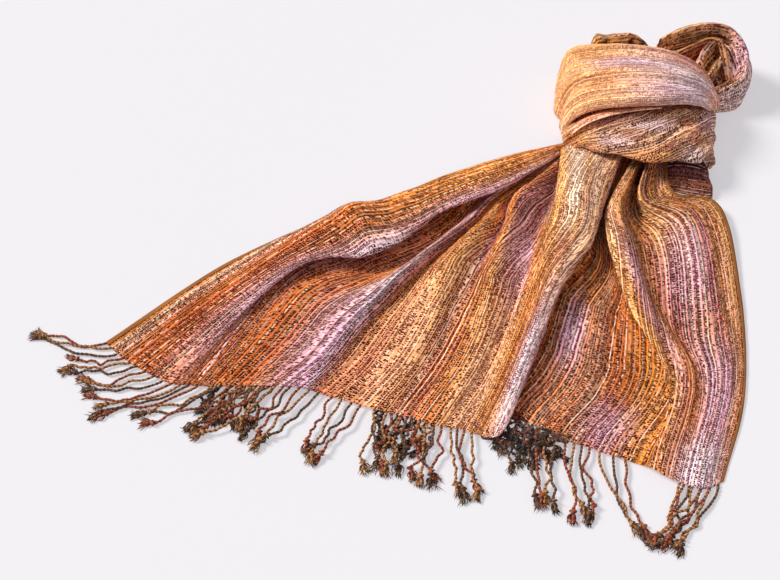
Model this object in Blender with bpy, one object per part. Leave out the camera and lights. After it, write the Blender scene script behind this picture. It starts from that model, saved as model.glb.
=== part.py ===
"""A fringed wrap scarf, tied in a flat wrapped knot and laid on a table.

The scarf is one rectangle of thin woven cloth with a twisted fringe on both short ends.
One end fans out from the knot in folds, the other lies flat beneath it, and the length
between them is wound into the knot and leaves two loops behind it.

Sizes are millimetres. They are measured on the table, with X to the right, Y away from the
front edge and Z up, and become metres in the mesh, with the origin under the scarf's middle.
"""
import math
from typing import NamedTuple

import bmesh
import bpy
from mathutils import Vector

# Driving sizes
MM = 0.001
MIDDLE = Vector((27.1, 24.0, 0.0))
CLOTH = 1.3
UNDER_CLOTH = 1.2
SEAM_GAP = 0.9
HEADING_WIDTH = 5.0
STRAND = 2.2
STRAND_HEIGHT = 2.4


# The fan: the end of the scarf that shows
class Fold(NamedTuple):
    """One crest or hollow of the cloth, followed from the knot down to the hem."""
    name: str
    mouth: tuple
    neck: tuple
    shoulder: tuple
    middle: tuple
    lower: tuple
    hem: tuple


FAN_STATIONS = (0.0, 0.14, 0.31, 0.55, 0.8, 1.0)
FAN_ROWS = 22
FAN_FOLDS = (
    Fold("left selvedge", (230, 210, 8), (148, 189, 8), (83, 164, 6),
         (-44, 112, 4), (-190, 30, 2), (-306, -70, 1)),
    Fold("hump crest", (217, 203, 15), (145, 179, 20), (77, 156, 18),
         (-34, 97, 32), (-171, 10, 9), (-281, -92, 2)),
    Fold("flap edge", (202, 186, 11), (133, 128, 24), (65, 96, 22),
         (-13, 33, 24), (-112, 13, 14), (-230, -122, 4)),
    Fold("flap tuck", (189, 195, 5), (113, 150, 9), (53, 114, 6),
         (-24, 56, 6), (-119, 23, 5), (-209, -124, 3)),
    Fold("flap shadow", (190, 187, 4), (119, 136, 4), (72, 84, 3),
         (-6, 21, 3), (-103, 1, 3), (-183, -126, 4)),
    Fold("lilac crest", (193, 184, 5.5), (124, 133, 8), (87, 86, 17),
         (11, 10, 20), (-48, -62, 14), (-93, -131, 10)),
    Fold("lilac hollow", (195.5, 181.5, 5), (130, 131, 5), (102, 91, 5),
         (31, 17, 4), (-27, -64, 4), (-68, -136, 4)),
    Fold("orange crest", (198, 179, 5.5), (136, 131, 9), (118, 97, 19),
         (73, 35, 18), (37, -61, 12), (-15, -154, 6)),
    Fold("mauve hollow", (200.5, 176, 5), (143, 128, 5), (130, 91, 5),
         (103, 33, 4), (61, -63, 4), (15, -162, 4)),
    Fold("gold crest", (203, 173, 6), (154, 125, 26), (139, 86, 26),
         (114, 14, 18), (90, -78, 10), (51, -174, 6)),
    Fold("dark hollow", (206.5, 168, 5), (186, 119, 5), (168, 80, 6),
         (148, 12, 5), (112, -93, 4), (77, -178, 4)),
    Fold("lobe left", (199, 179, 22), (192, 110, 34), (184, 76, 32),
         (163, -4, 24), (130, -87, 14), (91, -184, 6)),
    Fold("lobe crest", (246, 189, 25), (232, 118, 42), (216, 67, 40),
         (174, -21, 30), (142, -98, 22), (109, -188, 11)),
    Fold("lobe edge", (275, 182, 27), (245, 104, 33), (226, 47, 30),
         (186, -15, 24), (158, -83, 18), (124, -163, 12)),
    Fold("lobe tuck", (270, 193, 9), (243, 122, 8), (219, 65, 7),
         (177, -3, 6), (147, -78, 5), (120, -149, 5)),
    Fold("inset left", (281, 194, 5), (249, 103, 5), (235, 50, 4),
         (215, -19, 4), (186, -106, 4), (156, -178, 4)),
    Fold("inset right", (288, 193, 5), (253, 100, 5), (250, 41, 5),
         (252, -32, 5), (248, -125, 4), (212, -202, 4)),
    Fold("twist tuck", (293, 188, 8), (264, 112, 8), (262, 73, 8),
         (276, -21, 7), (303, -120, 6), (256, -218, 4)),
    Fold("twist edge", (288, 175, 22), (252, 109, 27), (242, 67, 26),
         (257, -30, 18), (289, -133, 13), (259, -222, 9)),
    Fold("twist crest", (294, 170, 27), (261, 103, 34), (262, 54, 28),
         (278, -31, 21), (309, -129, 13), (276, -232, 7)),
    Fold("twist hollow", (300, 178, 13), (279, 117, 8), (288, 64, 7),
         (295, -32, 8), (327, -128, 7), (291, -238, 4)),
    Fold("roll crest", (307, 170, 27), (290, 112, 27), (339, 89, 20),
         (346, -22, 13), (348, -126, 8), (307, -243, 4)),
    Fold("roll hollow", (315, 174, 17), (309, 122, 15), (359, 106, 11),
         (369, -17, 5), (361, -123, 3), (320, -240, 2)),
    Fold("right selvedge", (325, 172, 19), (327, 126, 20), (377, 114, 13),
         (387, 0, 4), (368, -141, 2), (332, -233, 1)),
)
FAN_CUTS = (3, 3, 3, 3, 3, 2, 3, 2, 3, 3, 3, 3, 3, 3, 3, 2, 3, 3, 3, 3, 3, 3, 2)


# The hidden end: it lies flat under the fan
class FlatLine(NamedTuple):
    """One straight thread of the flat end, from the knot to its hem."""
    name: str
    mouth: tuple
    hem: tuple


UNDER_ROWS = 6
UNDER_LINES = (
    FlatLine("left edge", (232, 172), (-196, -107)),
    FlatLine("left quarter", (248, 169), (-100, -113)),
    FlatLine("middle", (264, 166), (0, -137)),
    FlatLine("right quarter", (279, 160), (100, -158)),
    FlatLine("right edge", (292, 152), (190, -176)),
)


# The knot: bands of cloth that arch over it from left to right
class BandLine(NamedTuple):
    """One line across a band: its left and right ends, how far back it lies, and its height."""
    name: str
    left: float
    right: float
    back_left: float
    back_top: float
    back_right: float
    rise: float
    lean: float


class Band(NamedTuple):
    """A band of cloth that arches over the knot."""
    name: str
    foot: float
    roundness: float
    start: float
    end: float
    steps: int
    cuts: int
    lines: tuple


TABLE_CLEARANCE = 0.8
UNDER_CLEARANCE = 2.2
UPPER_WRAP = Band("wrap_upper", 0.8, 2.4, 0, 168, 15, 2, (
    BandLine("back rim", 216, 389, 310, 294, 266, 62, -0.04),
    BandLine("back edge", 211, 395, 320, 306, 274, 70, -0.05),
    BandLine("first ridge", 206, 400, 308, 294, 268, 82, -0.02),
    BandLine("first dip", 206, 396, 290, 276, 260, 80, -0.02),
    BandLine("second ridge", 203, 400, 268, 254, 254, 89, -0.01),
    BandLine("second dip", 209, 393, 250, 238, 248, 84, 0.0),
    BandLine("third ridge", 206, 392, 236, 222, 242, 84, 0.0),
    BandLine("front edge", 210, 390, 222, 207, 234, 77, 0.0),
    BandLine("front rim", 214, 388, 228, 213, 239, 68.2, 0.0),
))
INNER_WRAP = Band("wrap_inner", 0.8, 2.4, 25, 100, 9, 2, (
    BandLine("back", 210, 381, 214, 221, 235, 62, 0.0),
    BandLine("top", 208, 383, 208, 215, 230, 65.5, 0.0),
    BandLine("front edge", 207, 384, 198, 208, 224, 66.5, 0.0),
    BandLine("front rim", 209, 382, 202, 213, 228, 62.5, 0.0),
))
LOWER_WRAP = Band("wrap_lower", 0.8, 2.4, 18, 180, 13, 2, (
    BandLine("hidden rim", 213, 381, 221, 220, 238, 57, -0.04),
    BandLine("top fold", 210, 386, 214, 207, 230, 60, -0.05),
    BandLine("first dip", 210, 386, 210, 197, 220, 57, -0.04),
    BandLine("middle ridge", 209, 386, 206, 185, 205, 59, -0.03),
    BandLine("second dip", 209, 385, 202, 172, 193, 53, -0.02),
    BandLine("last ridge", 207, 387, 199, 160, 181, 51, 0.0),
    BandLine("front edge", 208, 386, 195, 150, 169, 45, 0.0),
    BandLine("front rim", 212, 382, 200, 156, 175, 40, 0.0),
))
TAIL_WRAP = Band("wrap_tail", 0.8, 2.4, 10, 180, 9, 2, (
    BandLine("back", 322, 374, 182, 181, 172, 25, 0.0),
    BandLine("ridge", 320, 376, 172, 169, 163, 24, 0.0),
    BandLine("dip", 320, 379, 163, 158, 154, 19, 0.0),
    BandLine("front edge", 322, 384, 150, 139, 136, 13, 0.0),
    BandLine("front foot", 325, 383, 142, 130, 126, 4, 0.0),
))
SMALL_LOOP = Band("loop_small", 0.8, 3.2, 8, 172, 13, 2, (
    BandLine("front rim", 250, 313, 310, 303, 312, 46, 0.0),
    BandLine("front edge", 242, 320, 321, 318, 316, 61, 0.03),
    BandLine("first ridge", 239, 323, 330, 328, 324, 69, 0.03),
    BandLine("dip", 241, 320, 337, 336, 330, 63, 0.0),
    BandLine("second ridge", 239, 321, 344, 344, 337, 61, 0.03),
    BandLine("back", 240, 320, 350, 352, 344, 34, 0.0),
    BandLine("back foot", 242, 317, 351, 355, 346, 3, 0.0),
))
WRAP_BANDS = (UPPER_WRAP, INNER_WRAP, LOWER_WRAP, TAIL_WRAP, SMALL_LOOP)


# The loops that stand behind the knot
class HankLine(NamedTuple):
    """One line along a standing loop: how far outside its path and how high it runs."""
    name: str
    outward: float
    height: float


class LoopStation(NamedTuple):
    """A place on a loop's path, with the loop's width and height there."""
    x: float
    y: float
    width: float
    height: float


class Loop(NamedTuple):
    """A gathered loop of cloth that stands on the table."""
    name: str
    steps: int
    cuts: int
    stations: tuple
    lines: tuple


LARGE_LOOP = Loop("loop_large", 22, 3, (
    LoopStation(340, 330, 0.8, 0.74),
    LoopStation(360, 338, 1.0, 0.94),
    LoopStation(387, 342, 1.0, 1.04),
    LoopStation(413, 336, 1.0, 1.04),
    LoopStation(426, 315, 1.0, 0.94),
    LoopStation(427.5, 297, 0.9, 0.8),
    LoopStation(421, 281.5, 0.8, 0.66),
    LoopStation(396.7, 273.8, 0.6, 0.5),
), (
    HankLine("inner foot", -13, 4),
    HankLine("inner wall", -15, 28),
    HankLine("inner crest", -9, 53),
    HankLine("groove", -2, 42),
    HankLine("outer crest", 5, 70),
    HankLine("outer wall", 16, 40),
    HankLine("outer foot", 14, 2),
))
INNER_LOOP = Loop("loop_inner", 8, 3, (
    LoopStation(381, 291, 0.8, 0.9),
    LoopStation(387, 301, 1.0, 1.0),
    LoopStation(402.6, 320.3, 0.9, 0.95),
), (
    HankLine("near foot", -7, 3),
    HankLine("near crest", -5, 46),
    HankLine("groove", -1, 32),
    HankLine("far crest", 4, 53),
    HankLine("far foot", 7, 3),
))
LOOPS = (LARGE_LOOP, INNER_LOOP)
PATH_STEP = 0.01


# The hidden layers of the knot
CORE_CENTRE = Vector((300.0, 254.5, 0.0))
CORE_HALF = Vector((79.0, 58.6, 63.3))
CORE_ROUNDNESS = 2.4
CORE_SIDES = 28
CORE_RINGS = 8
CORE_LAYERS = 4
CORE_LAYER_DEPTH = 1.2


# The fringe: two-ply strands, gathered by chance into loose tassels
class Tassel(NamedTuple):
    """Strands that lie together: the stretch of hem they leave and where their tips gather."""
    first: float
    last: float
    strands: int
    tip_x: float
    tip_y: float
    pitch: float
    rest: float


STRAND_STATIONS = (0.1, 0.34, 0.6, 0.82, 0.9, 1.0)
STRAND_WIDTHS = (2.0, 2.0, 2.0, 2.0, 4.0, 1.6)
STRAND_CLEARANCE = 0.3
TIP_RAGGED = 5.0
TIP_CHANGE = 2.6
TASSEL_CHANGE = 40.0
LEAD = 0.7
SWAY = 1.0
SWAY_TURNS = 5.0
SWAY_CHANGE = 0.02
LANDING = 0.5
FLATNESS = 0.4
TOUCH = 0.01
LEFT_HEADING_END = 0.575
RIGHT_HEADING_START = 0.71
LEFT_FRINGE = (
    Tassel(0.004, 0.030, 3, -385, -60, 4.5, 1.5),
    Tassel(0.042, 0.070, 3, -345, -99, 5.0, 1.5),
    Tassel(0.085, 0.115, 3, -325, -125, 5.0, 1.5),
    Tassel(0.130, 0.168, 4, -311, -153, 5.0, 1.5),
    Tassel(0.190, 0.215, 3, -262, -164, 5.5, 1.5),
    Tassel(0.232, 0.280, 4, -203, -180, 6.0, 4.6),
    Tassel(0.300, 0.342, 4, -140, -192, 6.5, 4.6),
    Tassel(0.362, 0.405, 4, -82, -208, 7.0, 4.6),
    Tassel(0.425, 0.475, 5, -14, -222, 6.5, 4.6),
    Tassel(0.492, 0.522, 4, 34, -236, 6.5, 4.6),
    Tassel(0.536, 0.566, 4, 78, -250, 6.5, 4.6),
)
RIGHT_FRINGE = (
    Tassel(0.715, 0.750, 4, 150, -262, 6.0, 4.6),
    Tassel(0.765, 0.800, 4, 192, -276, 6.0, 4.6),
    Tassel(0.815, 0.850, 3, 240, -296, 4.6, 1.5),
    Tassel(0.935, 0.990, 5, 268, -304, 4.6, 1.5),
)
UNDER_FRINGE = (
    Tassel(0.030, 0.190, 8, -166, -168, 7.0, 1.5),
    Tassel(0.500, 0.640, 8, 12, -198, 7.0, 1.5),
    Tassel(0.780, 0.930, 8, 150, -212, 7.0, 1.5),
)


# Curves and sheets
def on_curve(points, knots, place):
    """Point of a smooth curve that passes through each point at its knot."""
    last = len(knots) - 2
    span = 0
    while span < last and place > knots[span + 1]:
        span += 1
    length = knots[span + 1] - knots[span]
    share = (place - knots[span]) / length
    start, end = points[span], points[span + 1]
    chord = (end - start) / length
    leave, arrive = chord, chord
    if span > 0:
        before = knots[span] - knots[span - 1]
        leave = ((start - points[span - 1]) / before * length + chord * before) / (before + length)
    if span < last:
        after = knots[span + 2] - knots[span + 1]
        arrive = ((points[span + 2] - end) / after * length + chord * after) / (after + length)
    square, cube = share ** 2, share ** 3
    return (start * (2 * cube - 3 * square + 1) + leave * length * (cube - 2 * square + share)
            + end * (3 * square - 2 * cube) + arrive * length * (cube - square))


def across_knots(points):
    """Knots for a curve across the folds, spaced so that it never loops between points."""
    knots = [0.0]
    for start, end in zip(points, points[1:]):
        knots.append(knots[-1] + math.sqrt((end - start).length))
    return knots


def sheet_row(points, cuts, clearance):
    """Points across a sheet, with each span between two lines cut into equal parts.

    A curve that would swing lower than the clearance stays level with its two lines.
    """
    knots = across_knots(points)
    row = []
    for span, parts in enumerate(cuts):
        for number in range(parts):
            part = number / parts
            point = on_curve(points, knots, knots[span] + (knots[span + 1] - knots[span]) * part)
            level = points[span].lerp(points[span + 1], part).z
            point.z = max(point.z, min(level, clearance))
            row.append(point)
    row.append(points[-1].copy())
    return row


def spaced(count, start=0.0, end=1.0):
    """Equal steps from start to end."""
    return [start + (end - start) * step / (count - 1) for step in range(count)]


def fan_rows():
    """Rows of the fan, from the knot to the hem."""
    lines = [[Vector(station) for station in line[1:]] for line in FAN_FOLDS]
    rows = []
    for place in spaced(FAN_ROWS):
        across = [on_curve(line, FAN_STATIONS, place) for line in lines]
        rows.append(sheet_row(across, FAN_CUTS, UNDER_CLEARANCE))
    return rows


def under_rows():
    """Rows of the flat end, from the knot to its hem."""
    rows = []
    height = Vector((0.0, 0.0, UNDER_CLOTH / 2))
    for place in spaced(UNDER_ROWS):
        across = []
        for line in UNDER_LINES:
            mouth, hem = Vector((*line.mouth, 0.0)), Vector((*line.hem, 0.0))
            across.append(mouth.lerp(hem, place) + height)
        rows.append(sheet_row(across, [3] * (len(UNDER_LINES) - 1), UNDER_CLOTH / 2))
    return rows


def signed_power(value, power):
    """A power that keeps the sign."""
    return math.copysign(abs(value) ** power, value)


def band_rows(band):
    """Rows of a band, from its left foot over the knot to its right foot."""
    rows = []
    for degrees in spaced(band.steps, band.start, band.end):
        angle = math.radians(degrees)
        run = signed_power(math.cos(angle), 2 / band.roundness)
        climb = max(math.sin(angle), 0.0) ** (2 / band.roundness)
        share = (1 - run) / 2
        across = []
        for line in band.lines:
            pull = 2 * line.back_top - (line.back_left + line.back_right) / 2
            side = line.back_left * (1 - share) ** 2 + line.back_right * share ** 2
            back = side + 2 * pull * share * (1 - share)
            height = band.foot + line.rise * (1 + line.lean * run) * climb
            along = line.left + (line.right - line.left) * share
            across.append(Vector((along, back, height)))
        rows.append(sheet_row(across, [band.cuts] * (len(band.lines) - 1), TABLE_CLEARANCE))
    return rows


def loop_rows(loop):
    """Rows of a standing loop, from one end of its path to the other."""
    path = [Vector((station.x, station.y, 0.0)) for station in loop.stations]
    sizes = [Vector((station.width, station.height, 0.0)) for station in loop.stations]
    knots = spaced(len(path))
    rows = []
    for place in spaced(loop.steps):
        centre = on_curve(path, knots, place)
        size = on_curve(sizes, knots, place)
        behind = on_curve(path, knots, max(place - PATH_STEP, 0.0))
        ahead = on_curve(path, knots, min(place + PATH_STEP, 1.0)) - behind
        outward = Vector((-ahead.y, ahead.x, 0.0)).normalized()
        across = [centre + outward * line.outward * size.x + Vector((0.0, 0.0, line.height * size.y))
                  for line in loop.lines]
        rows.append(sheet_row(across, [loop.cuts] * (len(loop.lines) - 1), TABLE_CLEARANCE))
    return rows


# Meshes
def cloth_material(name, colour, roughness):
    """Matt woven cloth of one colour."""
    material = bpy.data.materials.new(name)
    material.use_nodes = True
    shader = material.node_tree.nodes["Principled BSDF"]
    shader.inputs["Base Color"].default_value = (*colour, 1.0)
    shader.inputs["Roughness"].default_value = roughness
    shader.inputs["Metallic"].default_value = 0.0
    return material


def finish(name, shape, material):
    """Make an object of a shape drawn in millimetres on the table."""
    for vert in shape.verts:
        vert.co = (vert.co - MIDDLE) * MM
    mesh = bpy.data.meshes.new(name)
    shape.to_mesh(mesh)
    shape.free()
    mesh.materials.append(material)
    mesh.shade_smooth()
    piece = bpy.data.objects.new(name, mesh)
    bpy.context.scene.collection.objects.link(piece)
    return piece


def sheet_shape(rows):
    """A grid moved onto the rows of a sheet."""
    shape = bmesh.new()
    wide, long = len(rows[0]) - 1, len(rows) - 1
    bmesh.ops.create_grid(shape, x_segments=wide, y_segments=long, size=1.0)
    for vert in shape.verts:
        column = round((vert.co.x + 1) / 2 * wide)
        row = round((1 - vert.co.y) / 2 * long)
        vert.co = rows[row][column]
    return shape


def make_cloth(name, rows, thickness, material):
    """A wall of cloth that follows the rows."""
    piece = finish(name, sheet_shape(rows), material)
    wall = piece.modifiers.new("Cloth thickness", "SOLIDIFY")
    wall.thickness = thickness * MM
    wall.offset = 0.0
    wall.use_rim = True
    return piece


def make_core(material):
    """The knot's hidden layers: one low rounded solid, stepped like a pile of cloth at its side."""
    shape = bmesh.new()
    bottom = []
    for side in range(CORE_SIDES):
        bottom.append(shape.verts.new(core_point(side, 0)))
    shape.faces.new(list(reversed(bottom)))
    ring = bottom
    for level in range(1, CORE_RINGS):
        upper = [shape.verts.new(core_point(side, level)) for side in range(CORE_SIDES)]
        for side in range(CORE_SIDES):
            beside = (side + 1) % CORE_SIDES
            shape.faces.new((ring[side], ring[beside], upper[beside], upper[side]))
        ring = upper
    crown = shape.verts.new(CORE_CENTRE + Vector((0.0, 0.0, CORE_HALF.z)))
    for side in range(CORE_SIDES):
        shape.faces.new((ring[side], ring[(side + 1) % CORE_SIDES], crown))
    return finish("knot_core", shape, material)


def core_point(side, level):
    """Point on the core's surface, on one of its rings."""
    turn = math.tau * side / CORE_SIDES
    climb = math.pi / 2 * level / CORE_RINGS
    groove = CORE_LAYER_DEPTH * (level % 2) if level < 2 * CORE_LAYERS else 0.0
    reach = math.cos(climb) ** (2 / CORE_ROUNDNESS)
    height = math.sin(climb) ** (2 / CORE_ROUNDNESS)
    return CORE_CENTRE + Vector((
        (CORE_HALF.x - groove) * reach * signed_power(math.cos(turn), 2 / CORE_ROUNDNESS),
        (CORE_HALF.y - groove) * reach * signed_power(math.sin(turn), 2 / CORE_ROUNDNESS),
        CORE_HALF.z * height,
    ))


class Hem:
    """The edge of a sheet, with places on it given as a share of its length."""

    def __init__(self, rows):
        self.edge = rows[-1]
        self.inside = rows[-2]
        self.marks = [0.0]
        for start, end in zip(self.edge, self.edge[1:]):
            self.marks.append(self.marks[-1] + (end - start).length)

    def place(self, share):
        """Point on the edge and the level direction that leaves the cloth there."""
        reach = min(max(share, 0.0), 1.0) * self.marks[-1]
        span = 0
        while span < len(self.marks) - 2 and reach > self.marks[span + 1]:
            span += 1
        part = (reach - self.marks[span]) / (self.marks[span + 1] - self.marks[span])
        point = self.edge[span].lerp(self.edge[span + 1], part)
        away = point - self.inside[span].lerp(self.inside[span + 1], part)
        away.z = 0.0
        return point, away.normalized()

    def length(self):
        """Length along the edge."""
        return self.marks[-1]

    def corner_shares(self):
        """Share of the length at which each corner of the edge lies."""
        return [mark / self.length() for mark in self.marks]


def strand_roots(hem, tassels):
    """Where each strand leaves the hem, with the tip that it reaches and the height it lies at."""
    roots = []
    for tassel in tassels:
        first_point = hem.place(tassel.first)[0]
        last_point = hem.place(tassel.last)[0]
        tip_middle = Vector((tassel.tip_x, tassel.tip_y, 0.0))
        heading = tip_middle - (first_point + last_point) / 2
        side = Vector((-heading.y, heading.x, 0.0)).normalized()
        if side.dot(last_point - first_point) < 0:
            side.negate()
        for number in range(tassel.strands):
            part = number / (tassel.strands - 1)
            share = tassel.first + (tassel.last - tassel.first) * part
            aside = (number - (tassel.strands - 1) / 2) * tassel.pitch
            short = TIP_RAGGED * math.sin(TIP_CHANGE * number + TASSEL_CHANGE * tassel.first)
            roots.append((share, tip_middle + side * aside, short, tassel.rest))
    return roots


def strand_path(root, away, tip, short, rest):
    """Places along a strand, from the hem to its tip on the table."""
    heading = tip - root
    heading.z = 0.0
    reach = heading.length - short
    heading.normalize()
    side = Vector((-heading.y, heading.x, 0.0))
    lowest = STRAND_HEIGHT / 2 + STRAND_CLEARANCE
    places = []
    for part in STRAND_STATIONS:
        lead = away * reach * LEAD * part * (1 - part) ** 2
        sway = side * SWAY * math.sin(SWAY_TURNS * part + SWAY_CHANGE * root.x)
        place = root + heading * reach * part + lead + sway
        drop = min(part / LANDING, 1.0)
        drop = drop * drop * (3 - 2 * drop)
        place.z = max(root.z + (rest - root.z) * drop, lowest)
        places.append(place)
    return places


def make_fringe(name, hem, start, end, tassels, thickness, material):
    """A narrow heading parted from the hem, with its strands grown out of its edge."""
    half_root = STRAND / 2 / hem.length()
    roots = strand_roots(hem, tassels)
    shares = [start, end]
    for share, _, _, _ in roots:
        shares += [share - half_root, share + half_root]
    for share in hem.corner_shares():
        if start + half_root < share < end - half_root:
            if all(abs(share - root[0]) > 2 * half_root for root in roots):
                shares.append(share)
    shares.sort()
    columns = [hem.place(share) for share in shares]
    rows = [[point + away * (SEAM_GAP + HEADING_WIDTH * step) for point, away in columns] for step in (0, 1)]
    shape = sheet_shape(rows)
    lift = Vector((0.0, 0.0, thickness / 2))
    top = list(shape.faces)
    grown = bmesh.ops.extrude_face_region(shape, geom=top, use_keep_orig=True)
    lower = [item for item in grown["geom"] if isinstance(item, bmesh.types.BMVert)]
    bmesh.ops.translate(shape, verts=shape.verts, vec=lift)
    bmesh.ops.translate(shape, verts=lower, vec=-2 * lift)
    bmesh.ops.recalc_face_normals(shape, faces=shape.faces)
    for share, tip, short, rest in roots:
        column = shares.index(share - half_root)
        corners = (rows[1][column], rows[1][column + 1])
        grow_strand(shape, corners, hem.place(share), tip, short, rest)
    return finish(name, shape, material)


def grow_strand(shape, corners, place, tip, short, rest):
    """Extrude one strand out of the heading's edge, between two of its corners."""
    middle = (corners[0] + corners[1]) / 2
    end_face = None
    for face in shape.faces:
        if len(face.verts) == 4 and (face.calc_center_median() - middle).length < TOUCH:
            end_face = face
    path = strand_path(middle, place[1], tip, short, rest)
    before = middle
    for centre, width in zip(path, STRAND_WIDTHS):
        grown = bmesh.ops.extrude_discrete_faces(shape, faces=[end_face])
        end_face = grown["faces"][0]
        ahead = centre - before
        ahead.z = 0.0
        ahead.normalize()
        side = Vector((-ahead.y, ahead.x, 0.0))
        face_middle = end_face.calc_center_median()
        for vert in end_face.verts:
            from_middle = vert.co - face_middle
            right = math.copysign(width / 2, from_middle.dot(side))
            up = math.copysign(min(width * FLATNESS, STRAND_HEIGHT / 2), from_middle.z)
            vert.co = centre + side * right + Vector((0.0, 0.0, up))
        before = centre


def clear_scene():
    """Start from an empty scene."""
    for piece in list(bpy.data.objects):
        bpy.data.objects.remove(piece)


def main():
    """Build the scarf."""
    clear_scene()
    fan_cloth = cloth_material("Fan cloth", (0.62, 0.30, 0.16), 0.85)
    under_cloth = cloth_material("Under cloth", (0.50, 0.24, 0.15), 0.88)
    wrap_cloth = cloth_material("Wrap cloth", (0.70, 0.42, 0.33), 0.85)
    loop_cloth = cloth_material("Loop cloth", (0.62, 0.38, 0.30), 0.85)
    thread = cloth_material("Fringe thread", (0.30, 0.15, 0.07), 0.8)

    fan = fan_rows()
    make_cloth("front_end", fan, CLOTH, fan_cloth)
    under = under_rows()
    make_cloth("under_end", under, UNDER_CLOTH, under_cloth)
    for band in WRAP_BANDS:
        make_cloth(band.name, band_rows(band), CLOTH, wrap_cloth)
    for loop in LOOPS:
        make_cloth(loop.name, loop_rows(loop), CLOTH, loop_cloth)
    make_core(wrap_cloth)

    front_hem = Hem(fan)
    make_fringe("fringe_left", front_hem, 0.0, LEFT_HEADING_END, LEFT_FRINGE, CLOTH, thread)
    make_fringe("fringe_right", front_hem, RIGHT_HEADING_START, 1.0, RIGHT_FRINGE, CLOTH, thread)
    make_fringe("fringe_under", Hem(under), 0.0, 1.0, UNDER_FRINGE, UNDER_CLOTH, thread)


main()
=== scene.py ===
"""A fringed wrap scarf of space-dyed weave, laid on a white table.

The cloth is followed from the knot to the hem in folds, and round the knot in bands. Each
stretch of it is one thin sheet with its own creases, and its stripes and dye run along the
threads, on a map in metres. Its deepest hollows and the layers that lie in shadow carry dark
patches of painted shade. The fringe is twisted from two plies and ends in knots and tufts.

Shapes are worked out in millimetres on the table, with X to the right, Y away from the front
edge and Z up, and are moved to the part's own origin in metres.
"""
import math
from typing import NamedTuple

import bmesh
import bpy
import numpy as np
from bpy.props import FloatProperty, FloatVectorProperty, PointerProperty
from bpy.types import Operator, Panel, PropertyGroup
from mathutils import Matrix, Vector, noise


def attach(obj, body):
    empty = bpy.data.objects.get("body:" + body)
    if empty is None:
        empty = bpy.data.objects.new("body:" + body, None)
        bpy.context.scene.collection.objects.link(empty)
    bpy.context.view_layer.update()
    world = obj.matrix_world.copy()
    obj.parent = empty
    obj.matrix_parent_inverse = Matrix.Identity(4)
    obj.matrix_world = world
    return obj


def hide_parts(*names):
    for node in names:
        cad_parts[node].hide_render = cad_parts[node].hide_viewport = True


bl_info = {
    "name": "Fringed Wrap Scarf",
    "version": (1, 0, 0),
    "blender": (4, 5, 0),
    "location": "3D View > Sidebar > Scarf",
    "description": "Makes a knotted wrap scarf of striped weave with a twisted fringe",
    "category": "Add Mesh",
}

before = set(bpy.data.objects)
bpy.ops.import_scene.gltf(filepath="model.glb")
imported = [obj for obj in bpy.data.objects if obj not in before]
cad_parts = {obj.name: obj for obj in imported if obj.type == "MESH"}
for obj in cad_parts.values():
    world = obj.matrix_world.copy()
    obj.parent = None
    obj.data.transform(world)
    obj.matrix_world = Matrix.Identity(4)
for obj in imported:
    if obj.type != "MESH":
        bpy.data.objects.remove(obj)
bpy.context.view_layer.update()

# Sizes and heights on the table, in millimetres, and widths of the thread map, in metres
MM = 0.001
MIDDLE = Vector((27.1, 24.0, 0.0))
TABLE_SKIN = 0.3
TABLE_CLEARANCE = 0.8
UNDER_CLEARANCE = 2.2
UNDER_CLOTH = 1.2
HEM_WIDTH = 0.75
UNDER_WIDTH = 0.4


# Colours of the yarn
EYE_SHIFT = 0.055
EYE_POWER = 2.4


def yarn(red, green, blue):
    """A yarn colour, from its red, green and blue as the eye sees them, out of 255."""
    return tuple(((value / 255 + EYE_SHIFT) / (1 + EYE_SHIFT)) ** EYE_POWER
                 for value in (red, green, blue))


# MAROON, PLUM and WINE are yarn colours, and they also serve as painted shade: in the deep hollows,
# on the core's front, on the tail wrap and on the flat end's hem.
MAROON = yarn(34, 6, 8)
SPECK = yarn(112, 40, 22)
PLUM = yarn(104, 56, 78)
WINE = yarn(132, 62, 66)
RUST = yarn(178, 72, 32)
ORANGE = yarn(220, 122, 50)
AMBER = yarn(234, 152, 64)
GOLD = yarn(246, 194, 116)
SALMON = yarn(238, 142, 112)
PEACH = yarn(252, 204, 164)
CREAM = yarn(255, 244, 222)
LILAC = yarn(228, 194, 234)
PALE_LILAC = yarn(250, 238, 255)
MAUVE = yarn(160, 108, 140)
OLIVE = yarn(168, 156, 118)
GREY = yarn(150, 146, 132)
MAGENTA = yarn(214, 84, 130)
TAN = yarn(196, 128, 66)
BROWN = yarn(104, 60, 34)


# The fan: the end of the scarf that shows
class Fold(NamedTuple):
    """One crest or hollow of the cloth, followed from the knot down to the hem."""
    name: str
    mouth: tuple
    neck: tuple
    shoulder: tuple
    middle: tuple
    lower: tuple
    hem: tuple


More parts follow.
